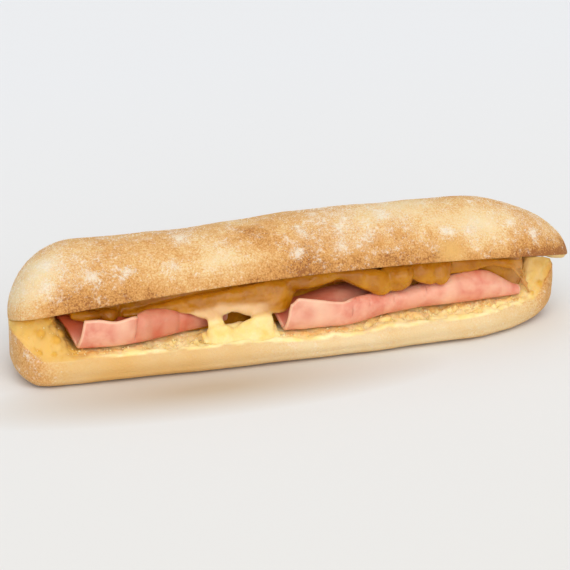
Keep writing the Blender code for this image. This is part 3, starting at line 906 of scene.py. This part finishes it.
def slice_middle(share, left, right, aslant, fold, flap, lean, crown, roll, puff):
    """The middle surface of a folded slice, one row of section points for each share along it."""
    start = mix(left, right, share)
    reach = aslant * (1.0 - share)
    rest = 2.0 * GAP + HAM_THICKNESS / 2.0
    floor = base_face_height(start, fold) + rest
    flat = (
        (0.60, -lean, 1.0),
        (0.50, -lean, 0.84),
        (0.36, -lean * 0.95, 0.58),
        (0.18, -lean * 0.8, 0.28),
    )
    rolled = (
        (0.10, 0.0042, 0.62),
        (0.10, 0.0022, 1.06),
        (0.08, -puff, 0.78),
        (0.04, -puff * 0.9, 0.28),
    )
    columns = []
    for (x_flat, y_flat, z_flat), (x_rolled, y_rolled, z_rolled) in zip(flat, rolled):
        columns.append(
            (
                start + reach * mix(x_flat, x_rolled, roll),
                fold - 0.0014 + mix(y_flat, y_rolled, roll),
                floor + flap * mix(z_flat, z_rolled, roll),
            )
        )
    columns.append((start, fold - 0.0020, floor))
    columns.append((start, fold + 0.0020, floor + 0.0002))
    for depth, rise in ((0.0055, 0.60), (0.0100, 1.0), (0.0240, 0.92), (0.0360, 0.80)):
        column_x = start - reach * min(rise, depth / 0.0100)
        column_y = fold + depth
        low = base_face_height(column_x, column_y) + rest
        high = lid_face_height(column_x, column_y) - rest
        columns.append((column_x, column_y, mix(low, high, crown * rise)))
    controls = np.stack([np.stack(np.broadcast_arrays(*column), axis=-1) for column in columns], axis=1)
    return spline(controls, 110)


def slice_skin(middle, thickness, edge):
    """Both faces of a slice round its middle surface, thinned to a rounded edge all round."""
    along = np.gradient(middle, axis=0)
    down = np.gradient(middle, axis=1)
    across = np.cross(along, down)
    across /= np.linalg.norm(across, axis=-1, keepdims=True)
    length = np.cumsum(np.linalg.norm(np.diff(middle, axis=1, prepend=middle[:, :1]), axis=-1), axis=1)
    run = np.cumsum(np.linalg.norm(np.diff(middle, axis=0, prepend=middle[:1]), axis=-1), axis=0)
    from_edge = np.minimum(np.minimum(length, length[:, -1:] - length), np.minimum(run, run[-1:] - run))
    half = thickness / 2.0 * end_round(from_edge + 0.00002, edge, 2.0)
    upper = middle + across * half[..., None]
    lower = middle - across * half[..., None]
    return np.concatenate([upper, lower[:, ::-1]], axis=1), from_edge


def pale_rim(from_edge):
    """How far each point of a skin lies in the pale fat along the edge of its slice."""
    rim = 0.75 * (1.0 - smooth_step(from_edge, 0.0004, 0.0013))
    return np.concatenate([rim, rim[:, ::-1]], axis=1)


# %% [markdown]
# ## The left slice
# It starts with a crisp fold whose flap stands nearly flat, pale and smooth. Past a soft crease the
# flap thickens into a loose roll, darker and more marbled, and it sinks back into the roll as it goes.

# %% Shape the left slice
share = stations(0.0, 1.0, 190, 0.0, 0.35)
left_slice = slice_middle(
    share,
    left=-0.0975,
    right=-0.0300,
    aslant=0.0050,
    fold=-0.0190 - 0.0020 * bump(share, 0.25, 0.3) + 0.0090 * smooth_step(share, 0.35, 1.0),
    flap=mix(0.0122, 0.0066, smooth_step(share, 0.30, 1.0)) - 0.0012 * bump(share, 0.20, 0.12),
    lean=mix(0.0030, 0.0014, share),
    crown=mix(0.88, 0.55, share),
    roll=smooth_step(share, 0.31, 0.45),
    puff=mix(0.0016, 0.0021, share),
)
crease = 0.0014 * np.exp(-(((share - 0.355) / 0.018) ** 2))
crease = crease - 0.0007 * np.exp(-(((share - 0.42) / 0.03) ** 2))
crease = crease + 0.0006 * np.exp(-(((share - 0.66) / 0.02) ** 2))
flap_part = 1.0 - smooth_step(np.arange(left_slice.shape[1]), 40, 52)
left_slice[..., 1] += crease[:, None] * flap_part[None, :]
left_slice[..., 1] += 0.00040 * soft_noise(left_slice, 0.0085, 51, 2)
skin, from_edge = slice_skin(left_slice, HAM_THICKNESS, HAM_EDGE)
steps = np.arange(left_slice.shape[1])
behind = smooth_step(steps, 56, 70)
behind = np.concatenate([behind, behind[::-1]])[None, :]
pale = 0.75 * bump(share, 0.25, 0.12)[:, None] + 0.60 * bump(share, 0.43, 0.07)[:, None]
pale = pale * (0.7 + 0.5 * soft_noise(skin, 0.006, 55, 2))
rosy = 0.42 * smooth_step(share, 0.355, 0.375) * (1.0 - smooth_step(share, 0.70, 0.95))
left_masks = {
    "fat": np.maximum(pale_rim(from_edge), pale * (1.0 - behind)),
    "inside": np.maximum(0.95 * behind, rosy[:, None] * (1.0 - behind)),
}
left_ham = make_tube("left_ham_slice", skin, ham, left_masks, folded=True)
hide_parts("ham_left")
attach(left_ham, "root")

# %% [markdown]
# ## The right slice
# The longer slice opens with the same crisp fold, taller, and then rolls into a soft tube that runs to
# a point at the right. Fine cracks cross the roll where the meat was bent tight.

# %% Shape the right slice
share = stations(0.0, 1.0, 300, 0.0, 0.35)
flap_height = 0.0080 + 0.0068 * bump(share, 0.0, 0.35) + 0.0027 * bump(share, 0.3, 0.15)
flap_height = flap_height + 0.0042 * bump(share, 0.80, 0.28) - 0.0064 * bump(share, 1.0, 0.17)
flap_height = flap_height - 0.0030 * bump(share, 0.0, 0.035)
right_slice = slice_middle(
    share,
    left=-0.0090,
    right=0.1028,
    aslant=0.0040,
    fold=-0.0225 + 0.0070 * smooth_step(share, 0.22, 0.55) + 0.0020 * smooth_step(share, 0.8, 1.0),
    flap=flap_height,
    lean=mix(0.0030, 0.0015, share),
    crown=0.50 + 0.16 * bump(share, 0.30, 0.2),
    roll=smooth_step(share, 0.14, 0.44) - 0.55 * smooth_step(share, 0.76, 1.0),
    puff=0.0022 + 0.0010 * bump(share, 0.6, 0.3) - 0.0016 * smooth_step(share, 0.80, 1.0),
)
crack_rng = np.random.default_rng(52)
steps = np.arange(right_slice.shape[1])[None, :]
for place in crack_rng.uniform(0.26, 0.60, 16):
    middle, reach = crack_rng.uniform(12.0, 40.0), crack_rng.uniform(6.0, 14.0)
    leaning = (steps - middle) * crack_rng.uniform(-0.0012, 0.0004)
    crack = np.exp(-(((share[:, None] - place - leaning) / 0.0040) ** 2)) * bump(steps, middle, reach)
    right_slice[..., 1] += crack_rng.uniform(0.0002, 0.0005) * crack
right_slice[..., 1] += 0.00045 * soft_noise(right_slice, 0.0090, 53, 2)
right_slice[..., 2] += 0.00040 * soft_noise(right_slice, 0.0120, 54, 1)
skin, from_edge = slice_skin(right_slice, HAM_THICKNESS, HAM_EDGE)
pale = 0.85 * bump(share, 0.11, 0.14)[:, None] + 0.75 * bump(share, 0.67, 0.10)[:, None]
pale = pale * (0.75 + 0.5 * soft_noise(skin, 0.007, 56, 2))
right_masks = {
    "fat": np.maximum(pale_rim(from_edge), pale * (1.0 - behind)),
    "inside": mix(0.80, 0.25, smooth_step(share, 0.12, 0.34))[:, None] * behind,
}
right_ham = make_tube("right_ham_slice", skin, ham, right_masks, folded=True)
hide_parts("ham_right")
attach(right_ham, "root")
print("ham slices:", len(left_ham.data.polygons), "and", len(right_ham.data.polygons), "faces")

# %% [markdown]
# ## The cheese's finish
# Melted cheese is a warm yellow, glossy where it is thick and milky where it is stretched thin. Light
# goes deep into it, which softens every shadow, so it has the strongest subsurface scattering of all.
# One mask keeps the stretched film beige. The other is painted light: the pool on the bread gets the
# bright colours of cheese in the light, while the rest, under the lid, has darker, deeper colours as
# painted shade.

# %% Mix the cheese finish
cheese, tree, shader = new_finish(
    "cheese",
    {
        "Specular IOR Level": 0.38,
        "Subsurface Weight": 0.40,
        "Subsurface Radius": (1.0, 0.62, 0.20),
        "Subsurface Scale": 0.0035,
    },
)
# The yellow and ochre are painted darker and deeper than the cheese itself, as painted shade for the
# cheese under the lid; the bright and butter colours are the same cheese as it looks in the light.
YELLOW, OCHRE = (0.57, 0.245, 0.007, 1.0), (0.44, 0.160, 0.004, 1.0)
MILKY, BRIGHT, BUTTER = (0.80, 0.53, 0.27, 1.0), (0.95, 0.75, 0.35, 1.0), (0.94, 0.66, 0.20, 1.0)
shaded_body_colour = place_group(tree, mottle_group, First=YELLOW, Second=OCHRE, Size=0.0075, Balance=0.48)
colour = blend_colours(tree, mask_of(tree, "film"), shaded_body_colour.outputs["Colour"], MILKY)
# Painted light: the pool on the bread gets the lit colours, the rest keeps its painted shade.
lit_pool_colour = place_group(tree, mottle_group, First=BRIGHT, Second=BUTTER, Size=0.006, Balance=0.42)
colour = blend_colours(tree, mask_of(tree, "pool"), colour, lit_pool_colour.outputs["Colour"])
tree.links.new(colour, shader.inputs["Base Color"])
uneven = place_group(tree, grain_group, Size=0.0016).outputs["Coarse"]
bump_shading(tree, shader, uneven, 0.35, 0.0003)
tree.links.new(spread(tree, uneven, 0.0, 1.0, 0.22, 0.38), shader.inputs["Roughness"])

# %% [markdown]
# ## One melted mass
# Cheese fills the space between the halves, hangs from the lid in lobes, drapes over the ham and pours
# onto the base. Each of those is drawn as a slug that runs along the loaf: at every station it has a
# highest point, a lowest point and a thickness, and a smooth spline joins the stations. Overlapping
# slugs would still show where they meet, so a voxel remesh fuses them into one skin, and a smoothing
# pass rounds that skin as surface tension does.


# %% Helpers for slugs of cheese
def slug(rows, squareness=0.75, across=20):
    """Points and faces of a soft body; a row in mm is x, high y, high z, low y, low z, half thickness."""
    rows = np.array(rows, dtype=float) / 1000.0
    path = spline(rows[None], 9 * len(rows))[0]
    x, top_y, top_z, low_y, low_z, half = path.T[:, :, None]
    turn = np.linspace(0.0, 2.0 * np.pi, across, endpoint=False)[None, :]
    up, out = np.cos(turn), np.sin(turn)
    up, out = np.sign(up) * np.abs(up) ** squareness, np.sign(out) * np.abs(out) ** squareness
    tall = np.hypot(top_y - low_y, top_z - low_z)
    lean_y, lean_z = (top_y - low_y) / tall, (top_z - low_z) / tall
    y = (top_y + low_y) / 2.0 + lean_y * tall / 2.0 * up - lean_z * half * out
    z = (top_z + low_z) / 2.0 + lean_z * tall / 2.0 * up + lean_y * half * out
    rings = np.stack(np.broadcast_arrays(x, y, z), axis=-1)
    return with_middles(rings), tube_faces(len(rings), across)


def strand(points, radii, columns=10, steps=26):
    """Points and faces of a round string through points, with its own radius at each."""
    path = spline(np.array(points)[None], steps)[0]
    thick = spline(np.array(radii)[None, :, None], steps)[0, :, 0]
    ahead = np.gradient(path, axis=0)
    ahead /= np.linalg.norm(ahead, axis=-1, keepdims=True)
    side = np.cross(ahead, (0.31, 0.80, 0.52))
    side /= np.linalg.norm(side, axis=-1, keepdims=True)
    other = np.cross(ahead, side)
    turn = np.linspace(0.0, 2.0 * np.pi, columns, endpoint=False)[None, :, None]
    sideways = side[:, None] * np.cos(turn) + other[:, None] * np.sin(turn)
    rings = path[:, None] + thick[:, None, None] * sideways
    return with_middles(rings), tube_faces(len(rings), columns)


# %% The core of cheese between the halves
CHEESE_LEFT, CHEESE_RIGHT, CHEESE_CORNER = -0.100, 0.109, 0.012
CHEESE_FRONT_Y, CHEESE_BACK_Y = -0.0135, 0.0225
RAISED = 0.0002  # the core lies this far above the cut faces, so that its top reaches into the lid
core_steps = 24
x = stations(CHEESE_LEFT, CHEESE_RIGHT, 200, 0.0005, 0.3)[:, None]
ends = end_round(x - CHEESE_LEFT, CHEESE_CORNER, 2.0) * end_round(CHEESE_RIGHT - x, CHEESE_CORNER, 2.0)
down = np.linspace(0.0, 1.0, core_steps)[None, :]
front_y = CHEESE_FRONT_Y * ends + 0.0085 * bump(x, 0.025, 0.034) * smooth_step(down, 0.12, 0.35)
front_z = mix(lid_face_height(x, front_y) + RAISED, base_face_height(x, front_y) + RAISED, down)
floor_y = mix(front_y[:, -1:], CHEESE_BACK_Y * ends, down[:, 1:])
floor_z = base_face_height(x, floor_y) + RAISED
roof_y = mix(CHEESE_BACK_Y * ends, front_y[:, :1], down[:, :-1])
roof_z = lid_face_height(x, roof_y) + RAISED
ring_y = np.concatenate([front_y, floor_y, roof_y], axis=1)
ring_z = np.concatenate([front_z, floor_z, roof_z], axis=1)
core = np.stack(np.broadcast_arrays(x, ring_y, ring_z), axis=-1)
print("core:", core.shape[0] * core.shape[1], "points")

# %% [markdown]
# ## Lobes, film and pour
# Read the rows from left to right and the cheese can be followed along the roll: two lumps and a long
# tongue behind the left slice, a thin film over that slice's end with one drip, the pour that spreads
# on the crumb as two thick tongues, then the lobes that sag over the right slice and a last thin sheet.

# %% Draw the slugs and fuse them
SLUGS = (
    # two lumps and a tongue behind the left slice
    (
        (-98, -14, 28.0, -15, 25.4, 1.0), (-94, -15, 28.4, -16.5, 24.2, 2.6),
        (-89, -15, 28.0, -16.5, 23.6, 3.0), (-85.5, -14, 27.0, -15, 24.6, 1.2),
    ),
    (
        (-86, -14, 27.5, -15.5, 25.0, 1.2), (-83.6, -15, 28.0, -17, 22.8, 2.8),
        (-80.6, -15, 27.8, -17, 22.6, 2.8), (-78, -14, 26.5, -15, 24.2, 1.2),
    ),
    (
        (-76, -14, 25.2, -15, 23.4, 0.8), (-70, -14.5, 26.2, -16, 23.0, 1.8),
        (-60, -14, 27.6, -16, 23.2, 2.4), (-48, -13.5, 29.0, -16, 24.2, 2.8),
        (-36, -13.5, 30.0, -16, 24.6, 3.0), (-26, -14.0, 31.0, -16.6, 25.0, 3.0),
        (-16, -15.2, 32.6, -17.4, 26.0, 3.0), (-8, -15.8, 33.4, -17.6, 27.0, 2.4),
    ),
    # a film over the left slice's end
    (
        (-53, -17.2, 25.2, -17.8, 24.0, 0.7), (-48.5, -17.2, 26.3, -18.8, 22.8, 1.1),
        (-43.5, -16.8, 26.6, -19.6, 20.8, 1.2), (-38, -16.6, 26.6, -20.6, 19.4, 1.2),
        (-34, -16.6, 26.4, -19.8, 21.2, 1.1), (-29, -16.8, 26.2, -19.2, 22.6, 1.1),
        (-24.5, -16.8, 27.4, -20.6, 19.6, 1.6), (-18, -16.6, 29.2, -20.8, 20.0, 2.2),
        (-12, -16.6, 30.4, -20.2, 20.6, 2.4),
    ),
    (
        (-41.6, -19.6, 22, -24.4, 16.4, 0.8), (-39.6, -19.4, 23, -25.2, 15.2, 1.2),
        (-36.4, -19.4, 23, -25.2, 15.2, 1.3), (-34.4, -19.6, 21, -24.4, 16.4, 0.8),
    ),
    # the pour between the slices, from the lid down
    (
        (-17.5, -15.5, 31.5, -18, 24, 1.6), (-13.5, -16, 32.6, -20.4, 19.8, 3.2),
        (-8.5, -16.4, 33.0, -20.6, 19.2, 3.6), (-5.2, -16.2, 33.0, -19.4, 20.4, 3.2),
        (-2.8, -16, 33.0, -18.4, 25.4, 2.4), (-0.6, -15.6, 32.0, -17.2, 27.4, 1.4),
    ),
    # the band and the lobes over the right slice
    (
        (-7, -16.5, 34.0, -18.5, 28.4, 2.0), (0, -17, 34.6, -19.0, 28.5, 2.4),
        (6, -17, 35.0, -19.0, 28.3, 2.4), (12, -17, 35.0, -18.6, 29.8, 2.2),
        (18, -17, 35.0, -18.4, 31.4, 2.0),
    ),
    (
        (15, -16.5, 35.0, -18.2, 32.0, 1.4), (20.5, -17.2, 35.0, -19.6, 30.0, 2.8),
        (26.5, -17.4, 34.6, -20.4, 26.2, 3.5), (32.2, -17.4, 34.0, -20.8, 24.0, 3.8),
        (37.0, -17.2, 33.0, -21.0, 22.3, 3.6), (39.8, -17, 32.0, -20.4, 23.4, 2.6),
        (41.4, -16.6, 30.0, -19, 25.8, 1.2),
    ),
    (
        (37.6, -16.2, 34.0, -18.4, 28.6, 1.2), (40.4, -17, 34.6, -19.8, 23.8, 2.6),
        (44.6, -17.2, 34.6, -20.4, 23.4, 3.0), (48.4, -17.2, 34.6, -20.2, 24.6, 2.8),
        (50.6, -16.6, 34.0, -18.8, 27.4, 1.3),
    ),
    (
        (40.6, -18.6, 33.6, -21.2, 28.6, 0.8), (43.6, -19, 34.0, -22.0, 27.2, 1.8),
        (47.6, -19, 34.0, -21.8, 27.6, 1.8), (50.4, -18.4, 33.6, -20.6, 29.6, 0.8),
    ),
    (
        (50.2, -16.2, 34.0, -18.2, 29.0, 1.2), (52.6, -17, 34.6, -19.8, 26.4, 2.6),
        (56.4, -17.2, 34.2, -20.4, 25.2, 2.9), (60.0, -17.2, 34.0, -20.2, 24.2, 2.6),
        (62.2, -16.6, 33.0, -18.8, 26.6, 1.2),
    ),
    (
        (59.4, -16.8, 34.0, -19.4, 27.4, 1.0), (61.8, -17.6, 34.4, -20.8, 24.0, 2.3),
        (64.8, -17.6, 34.2, -21.0, 24.2, 2.7), (67.4, -17.2, 34.0, -20.2, 26.6, 2.2),
        (69.2, -16.6, 33.4, -18.6, 30.2, 1.0),
    ),
    # the last thin sheet
    (
        (67, -14.4, 33.0, -15.6, 26.6, 0.9), (74, -14.6, 33.0, -16.0, 26.8, 1.2),
        (82, -14.6, 32.4, -15.8, 27.6, 1.2), (90, -14.4, 31.6, -15.4, 28.4, 0.9),
    ),
    (
        (88, -15.0, 31.4, -15.8, 28.8, 0.6), (94, -15.6, 31.0, -16.6, 27.4, 0.7),
        (99, -15.4, 30.4, -16.6, 26.0, 0.7), (103.5, -14.6, 29.8, -15.6, 25.0, 0.6),
    ),
)
BLOCKS = (
    # two thick tongues on the crumb, and the thin pool they stand in
    (
        (-42.4, -23.4, 16.6, -26.0, 10.4, 1.0), (-41.0, -23.2, 18.2, -27.6, 9.8, 1.8),
        (-37.5, -22.8, 19.0, -28.2, 9.6, 2.3), (-33.5, -23.0, 18.0, -28.0, 9.6, 2.1),
        (-30.4, -23.4, 16.2, -27.2, 10.2, 1.5),
    ),
    (
        (-30.6, -23.4, 16.4, -27.6, 10.2, 1.5), (-27.0, -22.8, 18.2, -28.8, 9.6, 2.2),
        (-21.5, -21.6, 20.0, -28.6, 9.6, 2.8), (-16.0, -20.6, 21.4, -28.2, 9.8, 2.6),
        (-13.4, -20.4, 20.8, -27.0, 10.2, 1.5),
    ),
    (
        (-44.5, -21, 15.0, -26.0, 12.0, 0.8), (-38, -20, 16.2, -28.4, 11.4, 1.6),
        (-29.6, -20, 16.9, -28.8, 11.2, 2.3), (-20, -19, 17.0, -28.9, 11.2, 2.2),
        (-11.0, -19, 15.8, -27.4, 11.8, 1.0),
    ),
)
STRANDS = (
    (
        (
            (0.0965, -0.0165, 0.0290),
            (0.1010, -0.0168, 0.0240),
            (0.1046, -0.0160, 0.0188),
            (0.1072, -0.0162, 0.0138),
        ),
        (0.0010, 0.0006, 0.0007, 0.0005),
    ),
    (
        ((0.1015, -0.0150, 0.0290), (0.1040, -0.0152, 0.0240), (0.1050, -0.0156, 0.0190)),
        (0.0008, 0.0005, 0.0006),
    ),
    (
        ((0.1036, -0.0158, 0.0186), (0.1050, -0.0160, 0.0188), (0.1062, -0.0160, 0.0184)),
        (0.0007, 0.0012, 0.0006),
    ),
)
VOXEL, BLOCK_SQUARENESS = 0.00055, 0.60  # metres, and how far a block's section is from a rectangle
points = [with_middles(core)]
faces = tube_faces(*core.shape[:2])
shapes = [slug(rows) for rows in SLUGS] + [slug(rows, BLOCK_SQUARENESS) for rows in BLOCKS]
shapes += [strand(*rows) for rows in STRANDS]
for shape_points, shape_faces in shapes:
    offset = sum(len(part) for part in points)
    points.append(shape_points)
    faces += [[corner + offset for corner in face] for face in shape_faces]
rough = make_piece("melted_mass", np.vstack(points), faces, cheese)
fuse = rough.modifiers.new("fuse", "REMESH")
fuse.mode, fuse.voxel_size = "VOXEL", VOXEL
ease = rough.modifiers.new("ease", "SMOOTH")
ease.factor, ease.iterations = 0.5, 8
worked_out = rough.evaluated_get(bpy.context.evaluated_depsgraph_get())
fused = bpy.data.meshes.new_from_object(worked_out)
bpy.data.objects.remove(rough)
print("fused cheese:", len(fused.vertices), "points")

# %% Ripple the skin and mark film and pool
count = len(fused.vertices)
places = np.empty(count * 3)
fused.vertices.foreach_get("co", places)
places = places.reshape(-1, 3) - np.array(TO_TABLE)
outward = np.empty(count * 3)
fused.vertex_normals.foreach_get("vector", outward)
outward = outward.reshape(-1, 3)
ripples = 0.00036 * soft_noise(places, 0.0034, 61, 2) + 0.00034 * soft_noise(places, 0.0090, 62, 1)
places += outward * ripples[:, None]
along, height = places[:, 0], places[:, 2]
film_top = mix(0.0240, 0.0262, (along + 0.050) / 0.035) + 0.0012 * soft_noise(places, 0.0070, 63, 2)
film = smooth_step(along, -0.056, -0.049) * (1.0 - smooth_step(along, -0.022, -0.010))
film *= 1.0 - smooth_step(height - film_top, -0.0015, 0.0012)
film *= smooth_step(-places[:, 1], 0.0150, 0.0166)
film = np.maximum(film, 0.30 * smooth_step(along, 0.096, 0.102))
# The pool is the cheese on the crumb in front, which takes the painted lit colours.
pool = smooth_step(-places[:, 1], 0.0200, 0.0235) * (1.0 - smooth_step(height, 0.0195, 0.0225))
pool *= 1.0 - smooth_step(along, -0.010, 0.0)
fused.vertices.foreach_set("co", (places + np.array(TO_TABLE)).ravel())
store_mask(fused, "film", film)
store_mask(fused, "pool", pool)
fused.materials.clear()
fused.materials.append(cheese)
fused.shade_smooth()
cheese_piece = bpy.data.objects.new("melted_cheese_skin", fused)
scene.collection.objects.link(cheese_piece)
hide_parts("melted_cheese")
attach(cheese_piece, "root")

# %% [markdown]
# ## Flour grains and loose crumbs
# The dusting is painted in the finish, but its coarsest grains stand up and catch light, so those are
# real: thousands of tiny eight-sided grains, laid where the flour mask is strongest. Crumbs that the
# knife tore loose lie on the cut face in the same way. Each kind is one mesh, at true size.


# %% Helper that lays grains on a surface
def lay_grains(name, finish, grid, weight, count, smallest, largest, seed):
    """Small uneven octahedra on a grid surface, more of them where the weight is high."""
    rng = np.random.default_rng(seed)
    along, around = grid[1:, :-1] - grid[:-1, :-1], grid[:-1, 1:] - grid[:-1, :-1]
    chance = np.linalg.norm(np.cross(along, around), axis=-1) * weight[:-1, :-1]
    picked = rng.choice(chance.size, count, p=(chance / chance.sum()).ravel())
    row, column = np.unravel_index(picked, chance.shape)
    u, v = rng.random((2, count, 1))
    places = grid[row, column] + u * along[row, column] + v * around[row, column]
    size = (smallest + (largest - smallest) * rng.random(count) ** 3)[:, None, None]
    corners = np.vstack([np.eye(3), -np.eye(3)])[[0, 3, 1, 4, 2, 5]]
    shape = corners * rng.uniform(0.6, 1.2, (count, 6, 1))
    turn = np.linalg.qr(rng.normal(size=(count, 3, 3)))[0]
    points = places[:, None] + size / 2.0 * np.einsum("nij,nkj->nki", turn, shape)
    upper = ((0, 2, 4), (2, 1, 4), (1, 3, 4), (3, 0, 4))
    sides = np.array(upper + ((2, 0, 5), (1, 2, 5), (3, 1, 5), (0, 3, 5)))
    faces = (np.arange(count)[:, None, None] * 6 + sides).reshape(-1, 3).tolist()
    print(name, "-", count, "grains")
    return make_piece(name, points.reshape(-1, 3), faces, finish)


# %% Lay the flour and the crumbs
MATT = {"Roughness": 0.9, "Specular IOR Level": 0.1}
flour = new_finish("flour", {"Base Color": (0.88, 0.79, 0.65, 1.0), **MATT})[0]

crust_only = np.clip(lid_flour, 0.03, 1.0) ** 1.6 * (1.0 - is_face) * smooth_step(above_edge, 0.0, 0.004)
lid_grains = lay_grains("lid_flour_grains", flour, lid, crust_only, 15000, 0.00022, 0.00066, 71)
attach(lid_grains, "root")

end_flour = np.clip(base_flour, 0.0, 1.0) * (1.0 - crumb)
base_grains = lay_grains("base_flour_grains", flour, base, end_flour, 700, 0.00022, 0.00055, 72)
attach(base_grains, "root")

on_face = np.zeros(base.shape[:2])
on_face[:, face_columns] = (0.15 + torn_mask) * smooth_step(from_rim, 0.002, 0.005) * (face_y < -0.015)
crumb_grains = lay_grains("loose_crumbs", bread, base, on_face, 500, 0.0006, 0.0019, 73)
# The loose crumbs take a little of the painted crumb shade too.
for mask_name, value in (("crumb", 1.0), ("painted_shade", 0.15)):
    store_mask(crumb_grains.data, mask_name, np.full(len(crumb_grains.data.vertices), value))
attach(crumb_grains, "root")

# %% [markdown]
# ## The table
# A matt white sheet, a shade cooler far away, as paper looks under two lamps. Beside the roll's left
# half a warm shadow is painted on it, darker and browner: the shadow the roll casts in front and the
# warm light its crust throws on the paper.

# %% Lay the floor
paper, tree, shader = new_finish("white_paper", MATT)
WARM_SHADOW_CENTRE, WARM_SHADOW_REACH = (-0.052, -0.047, 0.0), (0.108, 0.030)
place = own_places(tree)
apart = node(tree, "ShaderNodeSeparateXYZ", {"Vector": place})
far = spread(tree, apart.outputs["Y"], -0.35, 0.45)
shade = blend_colours(tree, far, (0.80, 0.80, 0.80, 1.0), (0.795, 0.82, 0.87, 1.0))
beside = place
to_unit = (1.0 / WARM_SHADOW_REACH[0], 1.0 / WARM_SHADOW_REACH[1], 0.0)
for operation, amounts in (("SUBTRACT", WARM_SHADOW_CENTRE), ("MULTIPLY", to_unit)):
    sums = {0: beside, 1: amounts}
    beside = node(tree, "ShaderNodeVectorMath", sums, operation=operation).outputs[0]
beside = node(tree, "ShaderNodeVectorMath", {0: beside}, operation="LENGTH").outputs["Value"]
# Painted warm shadow: near the roll's front left the paper is darkened and browned.
painted_warm_shadow = spread(tree, beside, 0.1, 1.0, 0.95, 0.0)
shade = blend_colours(tree, painted_warm_shadow, shade, (0.58, 0.475, 0.36, 1.0))
tree.links.new(shade, shader.inputs["Base Color"])
floor_mesh = bpy.data.meshes.new("floor")
REACH = 4.0
corners = [(-REACH, -REACH, 0.0), (REACH, -REACH, 0.0), (REACH, REACH, 0.0), (-REACH, REACH, 0.0)]
floor_mesh.from_pydata(corners, [], [(0, 1, 2, 3)])
floor_mesh.materials.append(paper)
floor = bpy.data.objects.new("floor", floor_mesh)
scene.collection.objects.link(floor)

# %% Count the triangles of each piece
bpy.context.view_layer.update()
for thing in scene.objects:
    if thing.type == "MESH":
        print("  ", thing.name, sum(len(face.vertices) - 2 for face in thing.data.polygons), "triangles")
